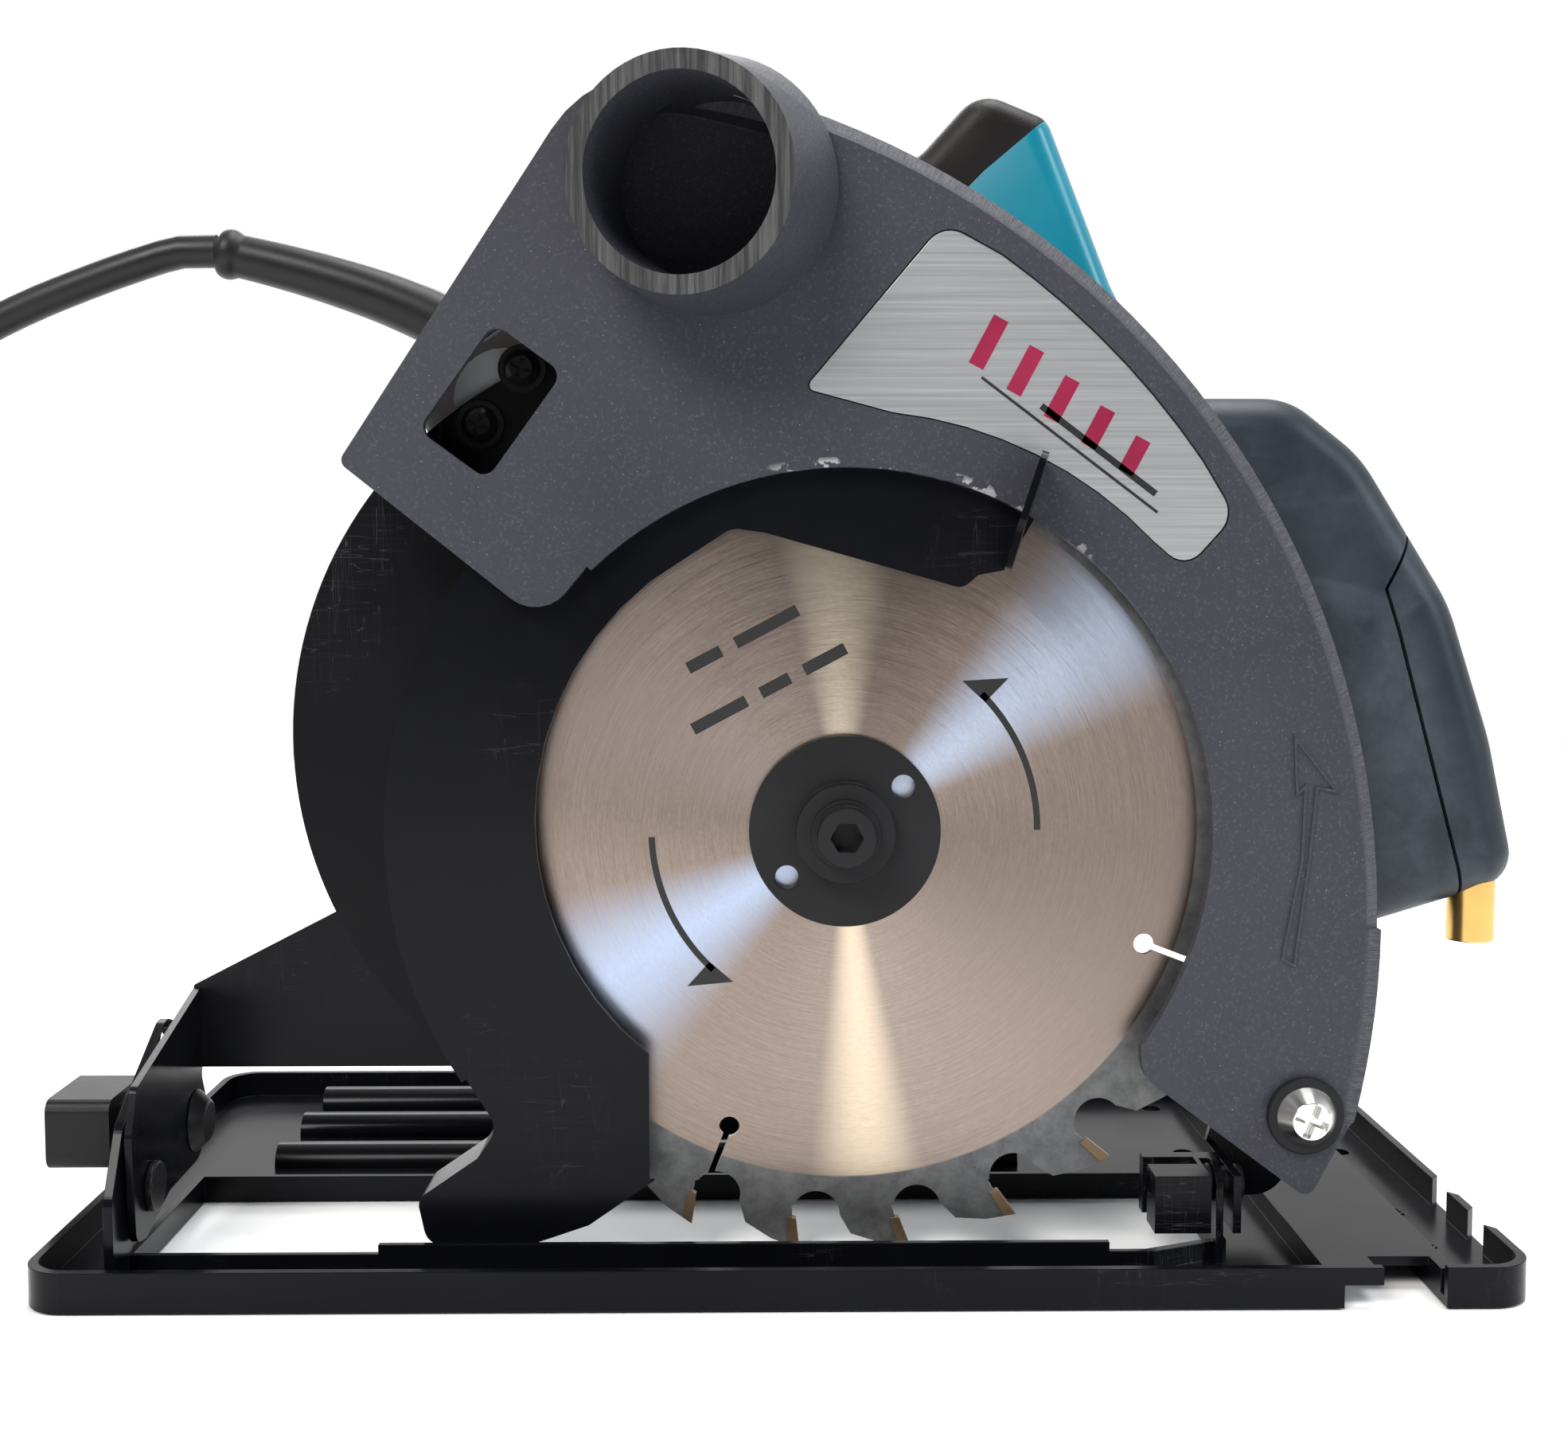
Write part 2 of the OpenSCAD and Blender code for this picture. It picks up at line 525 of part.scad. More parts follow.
module brush_caps() color([0.08, 0.08, 0.08]) for (s = [-1, 1]) difference() {
    rod_x([87, shaft.y], 7.4, shaft.x + (s > 0 ? 36 : -45.6), shaft.x + (s > 0 ? 45.6 : -36));
    translate([shaft.x + s * 45.6 - 0.8, 81, shaft.y - 0.7]) cube([1.6, 12, 1.4]);
}
module brush_holders() color([0.75, 0.6, 0.3]) for (s = [-1, 1]) difference() {
    translate([shaft.x + s * 25.25 - 10.75, 81, shaft.y - 5]) cube([21.5, 12, 10]);
    translate([shaft.x + s * 27 - 20, 82.9, shaft.y - 3.1]) cube([40, 8.2, 6.2]);
}

// ---- gear and motor housings ----
lock_c = [-22, sp.y];             // spindle lock's axis in Y and Z
case_screw_c = [[-9, 72], [38, 72], [-15, 151], [58, 151]];
cap_screw_c = [for (t = [90:120:330]) polar(shaft, 37.4, t)];
module gear_outline() union() {
    hull() {
        spot(sp, 36, $fn = 64);
        spot(shaft, 43, $fn = 64);
    }
    for (c = case_screw_c) spot(c, 7);
}
// Arm from the gear housing to the point c
module gear_arm(c, r, y1) slab(guard_back_y, y1) hull() {
    spot(c, r, $fn = 32);
    spot(shaft, 22, $fn = 32);
}
module gear_housing() color([0.55, 0.56, 0.58]) difference() {
    union() {
        rod_y(sp, 22, -41.8, guard_back_y + 1);
        slab(guard_back_y, -3) gear_outline();
        for (c = post_c) gear_arm(c, 5.6, -30.4);
        gear_arm([-60, 187.6], 11, -30.4);
        gear_arm(quad, 8, -27);
        for (c = shield_screws_c) rod_y(c, 5, -37.8, -34);
        rod_y(quad, 9, guard_back_y + 1, -14.4);
    }
    rod_y(sp, 17.51, -42.5, -30.2);
    rod_y(sp, 26, -30.3, -14.8);
    rod_y(shaft, 8, -30.3, -9);
    rod_y(sp, 11.01, -13.4, -2);
    rod_y(sp, 8, -16, -13);
    rod_y(shaft, 13.01, -10, -2);
    rod_y(quad, 3.55, -20, -10);
    rod_y(quad, 6.55, -17.7, -10);
    rod_x(lock_c, 4.06, 30, 70);
    rod_x(lock_c, 7.4, 45.5, 70);
    for (c = post_c) rod_y(c, 2.2, -40, -20);
    for (c = shield_screws_c) rod_y(c, 2.02, -40, -20);
    for (c = case_screw_c) rod_y(c, 2.02, -18, 0);
}
module spindle_lock() color([0.1, 0.1, 0.11]) {
    rod_x(lock_c, 4, 42, 57);
    rod_x(lock_c, 7, 50, 57);
    rod_x(lock_c, 2, 40.9, 43);
}
module motor_housing() color([0.04, 0.45, 0.55]) difference() {
    union() {
        difference() {
            union() {
                slab(-3, 3) gear_outline();
                rod_y(shaft, motor_r, 0, 100);
                for (s = [-1, 1]) rod_x([87, shaft.y], 9.5, shaft.x + (s > 0 ? 30 : -motor_r - 1.2),
                    shaft.x + (s > 0 ? motor_r + 1.2 : -30));
            }
            rod_y(shaft, motor_r - 3.2, 6, 105);
            rod_y(shaft, 37.5, -1, 7);
            rod_y(shaft, 14, -4, 7);
        }
        for (t = [0:60:300]) translate([shaft.x, 0, shaft.y]) rotate([0, -t, 0])
            translate([38.82, 24, -3]) cube([3, 50, 6]);
        for (c = cap_screw_c) rod_y(c, 4.4, 84, 100);
    }
    for (c = case_screw_c) {
        rod_y(c, 2.2, -4, 3);
        rod_y(c, 4.2, 0.6, 3.1);
    }
    for (c = cap_screw_c) rod_y(c, 2.02, 83, 101);
    for (s = [-1, 1]) rod_x([87, shaft.y], 7.5, shaft.x + (s > 0 ? 35 : -60), shaft.x + (s > 0 ? 60 : -35));
    // exhaust slots around the fan, and a row along the barrel
    for (t = [190:11:350]) translate([shaft.x, 0, shaft.y]) rotate([0, -t, 0])
        translate([30, 8.5, -1.6]) cube([30, 11, 3.2]);
    for (t = [-35:10:-5]) translate([shaft.x, 0, shaft.y]) rotate([0, -t, 0])
        translate([39, 42, -1.3]) cube([10, 26, 2.6]);
}
module end_cap() color([0.08, 0.08, 0.09]) difference() {
    union() {
        difference() {
            translate([shaft.x, 100, shaft.y]) rotate([-90, 0, 0]) rotate_extrude() polygon(concat([[0,
                0], [motor_r, 0]],
                [for (t = [0:7.5:90]) [motor_r - 16 + 16 * cos(t), 14 + 15 * sin(t)]], [[0, 29]]));
            rod_y(shaft, motor_r - 3, 99, 113);
            rod_y(shaft, motor_r - 9, 112, 125.6);
        }
        rod_y(shaft, 14.5, 101, 126);
        for (t = [0:60:300]) translate([shaft.x, 0, shaft.y]) rotate([0, -t, 0]) translate([12, 103,
            -1.4]) cube([23.8, 23, 2.8]);
        for (c = cap_screw_c) rod_y(c, 4.6, 100, 121);
    }
    rod_y(shaft, 11.01, 100, 110);
    rod_y(shaft, 5, 109, 114);
    for (c = cap_screw_c) {
        rod_y(c, 2.05, 90, 140);
        rod_y(c, 4.2, 120, 140);
    }
    difference() {
        for (i = [-3:3]) translate([shaft.x - 27, 120, shaft.y + i * 7 - 1.7]) cube([54, 15, 3.4]);
        rod_y(shaft, 15.5, 118, 140);
        for (c = cap_screw_c) rod_y(c, 6, 118, 140);
    }
}
// A screw with its head on the motor side
module left_screw(c, y, head_r, r, l) translate([0, 2 * y, 0]) mirror([0, 1, 0]) cross_screw(c, y,
    head_r, r, l);
// Screws that hold the upper guard, gear housing, motor housing and end cap together
module housing_screws() color([0.5, 0.5, 0.52]) {
    for (c = cap_screw_c) left_screw(c, 120, 4, 2, 34);
    for (c = case_screw_c) left_screw(c, 0.6, 3.9, 2, 17);
    for (c = post_c) left_screw(c, -30.4, 4, 2, 14);
}

// ---- main handle ----
handle_edge = [[64.5, 257.8, 2.5], [80, 219, 24], [97, 186, 8], [96, 150, 6], [66, 128, 0], [-28, 128, 0],
    [-34, 140, 5], [-66, 152, 10], [-88, 190, 9], [-80, 216, 7], [-52, 224, 30], [0, 239, 50], [33,
        248, 14],
    [48, 264.5, 9]];
hand_edge = [[48, 226, 11], [68, 196, 16], [56, 174, 9], [-40, 171, 12], [-62, 188, 9], [-54, 201, 9],
    [0, 212, 50],
    [30, 221, 8]];
grip_split = [[74, 265.7], [48.8, 244.6], [34, 229.5], [34, 205], [20, 196], [-70, 170], [-100, 190],
    [-90, 240],
    [30, 290], [60, 290]];
trigger_edge = [[42, 231, 3], [10, 227, 3], [9, 211, 2], [17, 202, 6], [32, 200.5, 12], [43, 212, 4]];
module boot_root(r, l) translate([-72, handle_y, 206]) rotate([0, -63, 0]) cylinder(r = r, h = l);
module handle_2d() difference() {
    outline(handle_edge);
    outline(hand_edge);
    spot(shaft, motor_r + 0.2);
}
module bar_2d() intersection() {
    handle_2d();
    polygon(grip_split);
}
// One half of the handle: a shell around the switch, cut away under the rubber
module handle_half(y0, y1, wall_y0, wall_y1) difference() {
    slab(y0, y1) handle_2d();
    difference() {
        slab(wall_y0, wall_y1) offset(delta = -4.6) handle_2d();
        for (c = handle_screw_c) rod_y(c, 4.9, handle_y - 25, handle_y + 25);
    }
    difference() {
        slab(y0 - 1, y1 + 1) polygon(grip_split);
        slab(handle_y - handle_w / 2 + 2, handle_y + handle_w / 2 - 2) offset(delta = -2) handle_2d();
    }
    slab(handle_y - 8.3, handle_y + 8.3) offset(delta = 0.4) trigger_sweep();
    boot_root(6.05, 40);
    for (c = handle_screw_c) rod_y(c, 1.72, handle_y - 20, handle_y + 20);
    for (c = handle_screw_c) rod_y(c, 3.6, handle_y - 30, handle_y - handle_w / 2 + 5.1);
    rod_y(lock_off_c, 4.06, handle_y + 5, handle_y + 30);
}
module trigger_sweep() hull() {
    outline(trigger_edge);
    translate([-2.6, 5.6]) outline(trigger_edge);
}
handle_screw_c = [[88, 176], [-62, 164], [-76, 198], [68, 214], [84, 152]];
lock_off_c = [62, 232];
module handle_right() color([0.04, 0.5, 0.62])
    handle_half(handle_y - handle_w / 2, handle_y - 0.05, handle_y - handle_w / 2 + 4.6, handle_y + 1);
module handle_left() color([0.04, 0.5, 0.62])
    handle_half(handle_y + 0.05, handle_y + handle_w / 2, handle_y - 1, handle_y + handle_w / 2 - 4.6);
module handle_grip() color([0.07, 0.06, 0.06]) difference() {
    slab(handle_y - handle_w / 2, handle_y + handle_w / 2) bar_2d();
    slab(handle_y - handle_w / 2 + 2, handle_y + handle_w / 2 - 2) offset(delta = -2) handle_2d();
    slab(handle_y - 8.6, handle_y + 8.6) offset(delta = 0.7) trigger_sweep();
    boot_root(6.05, 40);
}
module trigger() color([0.06, 0.06, 0.06]) slab(handle_y - 8, handle_y + 8) outline(trigger_edge);
module lock_off_button() color([0.06, 0.06, 0.06]) {
    rod_y(lock_off_c, 4, handle_y + 9, handle_y + handle_w / 2 + 3.2);
    rod_y(lock_off_c, 5.4, handle_y + 8.4, handle_y + 9.4);
}
module power_switch() color([0.15, 0.15, 0.16]) translate([-18, handle_y, 220.6]) rotate([0, -14, 0])
    cube([28, handle_w - 9.2, 8.4], center = true);
module handle_screws() color([0.5, 0.5, 0.52]) for (c = handle_screw_c)
    cross_screw(c, handle_y - handle_w / 2 + 5, 3.4, 1.7, 20);

// ---- front grip and laser ----
grip_edge = [[63.2, 96, 0], [63.2, 160, 6], [84, 187.5, 14], [110.5, 187.5, 16], [126.5, 175, 30],
    [146.6, 143, 40], [156.2, 113.5, 60], [162, 88, 9], [160.5, 81.6, 6], [132, 73, 8], [104, 66, 10],
        [80, 78, 16]];
laser_c = [153.8, -38];
module grip_solid(inset) difference() {
    slab(grip_y[0] + inset, grip_y[1] + gap - inset) offset(delta = -inset) outline(grip_edge);
    rod_y(big_c, big_r + gap + inset, -70, guard_back_y + gap + inset + 4.4);
    slab(-60, 30) offset(delta = inset) union() {
        spot(shaft, motor_r);
        gear_outline();
    }
    slab(handle_y - handle_w / 2 - inset, 40) offset(delta = inset) handle_2d();
}
module cover_zone(grow) slab(-60, 30) offset(delta = grow) polygon([
    [140.5, 166], [130.4, 146.2], [133.4, 137], [149.6, 78], [150.4, 60], [190, 60], [190, 166]]);
module front_grip() color([0.09, 0.11, 0.13]) difference() {
    grip_solid(0);
    difference() {
        grip_solid(2.6);
        for (c = grip_screw_c) rod_y(c, 4.6, -70, 30);
    }
    cover_zone(0.25);
    for (c = grip_screw_c) {
        rod_y(c, 1.52, -40, 30);
        rod_y(c, 3.4, grip_y[1] - 3, 30);
    }
    rod_y(post_c[0], 4.5, grip_y[0] - 1, -27.6);
    translate([108, grip_y[1] - 5, 146]) cube([16.6, 10, 8.6]);
    translate([laser_c.x, laser_c.y, 60]) cylinder(r = 5.25, h = 45);
}
module battery_cover() color([0.09, 0.11, 0.13]) difference() {
    intersection() {
        grip_solid(0);
        cover_zone(-0.05);
    }
    grip_solid(2.6);
    translate([laser_c.x, laser_c.y, 60]) cylinder(r = 5.25, h = 45);
}
grip_screw_c = [[105, 177], [122, 160], [112, 78]];
module grip_screws() color([0.5, 0.5, 0.52]) for (c = grip_screw_c) left_screw(c, grip_y[1] - 3, 3.2,
    1.5, 18);
module laser_module() color([0.72, 0.53, 0.25]) difference() {
    translate([laser_c.x, laser_c.y, 68.4]) cylinder(r = 5.2, h = 30);
    translate([laser_c.x, laser_c.y, 67]) cylinder(r = 3.2, h = 4);
}
module laser_switch() color([0.5, 0.08, 0.08]) translate([108.3, grip_y[1] - 4.6, 146.3]) {
    cube([10, 4.3, 8]);
    translate([2.5, 4, 1]) cube([5, 2.2, 6]);
}

// ---- mains cord ----
coil_c = [-276, 34, 0.95];
coil_r = 48;
cord_r = cord_d / 2;
boot_path = [[-82.8, 20, 211.5], [-88, 20, 214], [-97, 20, 217.6], [-107, 20, 220.9], [-117, 20, 223.8],
    [-127, 20, 226.3], [-137, 20, 228.4]];
cord_path = [[-137.2, 20, 228.54], [-146, 20, 228.4], [-156, 20, 225.6], [-170, 20, 220.6], [-186, 20, 214],
    [-202, 20, 205.6], [-218, 19, 194], [-232, 17, 179], [-243, 14, 161], [-251, 10, 141], [-256, 5, 120],
    [-258.6, 0, 98], [-259.6, -6, 76], [-260, -12, 55], [-260.6, -17.4, 37], [-263, -21.6, 21], [-269,
        -22.6, 11],
    [-278, -22, 5.4]];
tail_path = [[-331, 23, 13.1], [-333, 36, 13.6], [-334, 50, 15], [-334, 62, 17.2], [-334, 71, 18.9],
    [-334, 77.95, 19]];
plug_c = [-334, 19];
// Sweeps round rings of the given radii along the points of a path
module tube(path, radii, sides) {
    n = len(path) - 1;
    points = [for (i = [0:n]) let (
        d = path[min(i + 1, n)] - path[max(i - 1, 0)], t = d / norm(d), w = cross(t, [1, -1, 1]),
            u = w / norm(w),
        v = cross(t, u)) for (j = [0:sides - 1]) let (a = 360 * j / sides)
            path[i] + radii[i] * (u * cos(a) + v * sin(a))];
    polyhedron(points, concat(
        [[for (j = [0:sides - 1]) j]], [[for (j = [sides - 1:-1:0]) n * sides + j]],
        [for (i = [0:n - 1], j = [0:sides - 1])
            let (k = (j + 1) % sides) [i * sides + j, (i + 1) * sides + j, (i + 1) * sides + k,
                i * sides + k]]));
}
module strain_relief() color([0.05, 0.05, 0.05]) {
    boot_root(6, 12.2);
    tube(boot_path, [7.2, 7, 6.7, 6.3, 5.9, 5.5, 5.2], 12);
    translate([-137, 20, 228.4]) rotate([0, -78, 0]) translate([0, 0, -4]) cylinder(r = 5.9, h = 4);
}
module cord() color([0.05, 0.05, 0.05]) {
    tube(cord_path, [for (p = cord_path) cord_r], 10);
    tube(tail_path, [for (p = tail_path) cord_r], 10);
}
module cord_coil() color([0.05, 0.05, 0.05]) translate(coil_c) rotate_extrude()
    translate([coil_r - 1.5 * cord_d, 0]) square([3 * cord_d, 2 * cord_d]);
module cord_tie() color([0.1, 0.1, 0.1]) translate(coil_c) rotate([0, 0, -35]) translate([coil_r, 0, 0])
    rotate([90, 0, 0]) linear_extrude(4, center = true) difference() {
        translate([-1.5 * cord_d - 0.9, -0.9]) square([3 * cord_d + 1.8, 2 * cord_d + 1.8]);
        translate([-1.5 * cord_d - 0.2, -0.02]) square([3 * cord_d + 0.4, 2 * cord_d + 0.04]);
    }
module plug() color([0.05, 0.05, 0.05]) {
    translate([plug_c.x, 78, plug_c.y]) rotate([-90, 0, 0]) rotate_extrude() polygon([
        [0, 0], [6, 0], [8, 12], [11, 22], [17, 30], [18.5, 34], [18.5, 48], [17, 50], [0, 50]]);
}
module plug_pins() color([0.75, 0.75, 0.76]) for (s = [-1, 1])
    translate([plug_c.x + s * 9.5, 128, plug_c.y]) rotate([-90, 0, 0]) union() {
        cylinder(r = 2.4, h = 17);
        translate([0, 0, 16.9]) sphere(r = 2.4);
    }

upper_guard();
label_plate();
rear_shield();
shield_screws();
gear_housing();
motor_housing();
end_cap();
housing_screws();
brush_caps();
brush_holders();
carbon_brushes();
stator();
field_coils();
spindle_bearings();
armature_bearings();
guard_spring();
depth_screw();
pivot_collar();
depth_bolt();
handle_right();
handle_left();
handle_grip();
handle_screws();
power_switch();
front_grip();
battery_cover();
grip_screws();
laser_module();
strain_relief();
cord();
cord_coil();
cord_tie();
plug();
plug_pins();
blade();
carbide_tips();
outer_flange();
inner_flange();
blade_bolt();
spindle();
spindle_gear();
armature_shaft();
armature_core();
armature_windings();
commutator();
cooling_fan();
lower_guard();
trigger();
lock_off_button();
spindle_lock();
laser_switch();
depth_lever();
rear_bracket();
front_bracket();
bevel_rivets();
bevel_bolt();
bevel_knob();
base_plate();
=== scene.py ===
"""The circular saw's looks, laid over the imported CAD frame."""

import json
import math

import bmesh
import bpy
from mathutils import Matrix, Vector


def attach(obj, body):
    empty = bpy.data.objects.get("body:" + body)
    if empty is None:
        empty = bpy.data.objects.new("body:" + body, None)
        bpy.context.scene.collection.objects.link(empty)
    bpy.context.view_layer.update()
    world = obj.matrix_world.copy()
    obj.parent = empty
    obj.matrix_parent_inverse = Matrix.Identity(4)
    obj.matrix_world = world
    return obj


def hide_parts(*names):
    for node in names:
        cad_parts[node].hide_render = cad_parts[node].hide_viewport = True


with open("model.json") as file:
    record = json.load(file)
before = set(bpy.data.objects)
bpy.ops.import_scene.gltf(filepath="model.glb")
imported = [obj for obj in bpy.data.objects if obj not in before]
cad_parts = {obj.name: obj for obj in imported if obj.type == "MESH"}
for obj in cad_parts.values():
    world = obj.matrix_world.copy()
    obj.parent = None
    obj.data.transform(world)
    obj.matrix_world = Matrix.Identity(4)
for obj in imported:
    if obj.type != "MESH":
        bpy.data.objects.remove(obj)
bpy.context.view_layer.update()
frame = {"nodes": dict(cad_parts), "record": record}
nodes = frame["nodes"]
scene = bpy.context.scene

MM = 0.001
SPINDLE = (14.0, 94.5)      # X and Z, mm
BIG_C, BIG_R = (-52.5, 74.5), 179.5
HANDLE_Y, HANDLE_W = 20.0, 34.0
BLADE_FACE = -48.7
GUARD_FACE = -59.0
BASE_TOP = 2.0

# ---- camera ----
cam_data = bpy.data.cameras.new("camera")
cam_data.lens = 43.0
cam_data.sensor_width = 36.0
cam_data.clip_end = 50
camera = bpy.data.objects.new("camera", cam_data)
scene.collection.objects.link(camera)
camera.location = (-0.00376, -0.4486, 0.1486)
camera.rotation_euler = (math.radians(90 - 4.23), 0, math.radians(-0.68))
scene.camera = camera
scene.view_settings.view_transform = "Standard"
scene.view_settings.look = "None"


# ---- materials ----
def shader(name, base=(0.5, 0.5, 0.5), rough=0.5, metal=0.0, **extra):
    """A new material: (material, node tree, Principled node)."""
    m = bpy.data.materials.new(name)
    m.use_nodes = True
    t = m.node_tree
    p = t.nodes["Principled BSDF"]
    p.inputs["Base Color"].default_value = (*base, 1)
    p.inputs["Roughness"].default_value = rough
    p.inputs["Metallic"].default_value = metal
    for k, v in extra.items():
        p.inputs[k.replace("_", " ")].default_value = v
    return m, t, p


def node(t, kind, inputs=None, **props):
    n = t.nodes.new(kind)
    for k, v in props.items():
        setattr(n, k, v)
    for k, v in (inputs or {}).items():
        if isinstance(v, bpy.types.NodeSocket):
            t.links.new(v, n.inputs[k])
        else:
            n.inputs[k].default_value = v
    return n


def coords(t):
    return node(t, "ShaderNodeTexCoord").outputs["Object"]


def noise(t, scale, detail=4.0, rough=0.6, vector=None):
    n = node(t, "ShaderNodeTexNoise", {"Scale": scale, "Detail": detail, "Roughness": rough,
                                       "Vector": vector or coords(t)})
    return n.outputs["Fac"]


def math_node(t, op, a, b=0.0, c=0.0):
    return node(t, "ShaderNodeMath", {0: a, 1: b, 2: c}, operation=op).outputs[0]


def ramp(t, fac, lo, hi, out_lo=0.0, out_hi=1.0):
    n = node(t, "ShaderNodeMapRange", {"Value": fac, "From Min": lo, "From Max": hi,
                                       "To Min": out_lo, "To Max": out_hi})
    return n.outputs[0]


def mix(t, fac, a, b):
    n = t.nodes.new("ShaderNodeMix")
    n.data_type = "RGBA"
    for s, v in (("Factor", fac), ("A", a), ("B", b)):
        sockets = [i for i in n.inputs if i.name == s and i.enabled]
        target = sockets[0]
        if isinstance(v, bpy.types.NodeSocket):
            t.links.new(v, target)
        else:
            target.default_value = v if s == "Factor" else (*v, 1)
    return [o for o in n.outputs if o.enabled][0]


def bump(t, p, height, strength, distance=0.0002, below=None):
    n = node(t, "ShaderNodeBump", {"Height": height, "Strength": strength, "Distance": distance})
    if below is not None:
        t.links.new(below.outputs[0], n.inputs["Normal"])
    t.links.new(n.outputs[0], p.inputs["Normal"])
    return n


def polar_xz(t, centre):
    """Distance in mm and angle in radians about a Y axis through centre."""
    sep = node(t, "ShaderNodeSeparateXYZ", {0: coords(t)})
    x = math_node(t, "MULTIPLY_ADD", sep.outputs["X"], 1000.0, -centre[0])
    z = math_node(t, "MULTIPLY_ADD", sep.outputs["Z"], 1000.0, -centre[1])
    d2 = math_node(t, "ADD", math_node(t, "MULTIPLY", x, x), math_node(t, "MULTIPLY", z, z))
    return math_node(t, "SQRT", d2), math_node(t, "ARCTAN2", z, x), sep


def band(t, value, lo, hi, soft):
    up = ramp(t, value, lo - soft, lo + soft)
    down = ramp(t, value, hi - soft, hi + soft, 1.0, 0.0)
    return math_node(t, "MULTIPLY", up, down)


def plain(name, base, rough, metal=0.0, grain=600.0, depth=0.12, mottle=0.12, **extra):
    """A material with fine grain, uneven gloss and slight colour mottling."""
    m, t, p = shader(name, base, rough, metal, **extra)
    fine = noise(t, grain, 3.0, 0.6)
    broad = noise(t, 28.0, 5.0, 0.65)
    dark = [c * (1 - mottle) for c in base]
    light = [min(1, c * (1 + mottle)) for c in base]
    t.links.new(mix(t, ramp(t, broad, 0.35, 0.65), dark, light), p.inputs["Base Color"])
    t.links.new(ramp(t, broad, 0.3, 0.7, rough * 0.85, min(1, rough * 1.2)), p.inputs["Roughness"])
    bump(t, p, fine, depth)
    return m


def scratched(t, p, base_socket, colour, amount):
    """Long thin scratches over a paint, as a colour mix."""
    v = node(t, "ShaderNodeMapping", {"Vector": coords(t), "Rotation": (0.2, 0.9, 0.3), "Scale": (9, 160, 160)})
    n1 = noise(t, 3.0, 2.0, 0.5, v.outputs[0])
    v2 = node(t, "ShaderNodeMapping", {"Vector": coords(t), "Rotation": (0.1, -0.6, 0.8), "Scale": (150, 140, 7)})
    n2 = noise(t, 3.0, 2.0, 0.5, v2.outputs[0])
    line = math_node(t, "MAXIMUM", band(t, n1, 0.497, 0.503, 0.003), band(t, n2, 0.497, 0.503, 0.003))
    patch = ramp(t, noise(t, 16.0, 2.0), 0.55, 0.68)
    mask = math_node(t, "MULTIPLY", math_node(t, "MULTIPLY", line, patch), amount)
    t.links.new(mix(t, mask, base_socket, colour), p.inputs["Base Color"])
    return mask


def gloss_black(name, base=(0.0028, 0.003, 0.0042), rough=0.2, amount=0.5):
    m, t, p = shader(name, base, rough, 0.0, IOR=1.22)
    broad = noise(t, 22.0, 5.0, 0.6)
    tone = mix(t, ramp(t, broad, 0.35, 0.7), base, [c * 1.5 for c in base])
    scratched(t, p, tone, (0.07, 0.07, 0.075), amount)
    t.links.new(ramp(t, broad, 0.3, 0.75, rough * 0.8, rough * 1.5), p.inputs["Roughness"])
    ripple = noise(t, 130.0, 2.0, 0.4)
    first = bump(t, p, ripple, 0.05, 0.0004)
    bump(t, p, noise(t, 900.0, 2.0), 0.03, 0.0002, first)
    return m


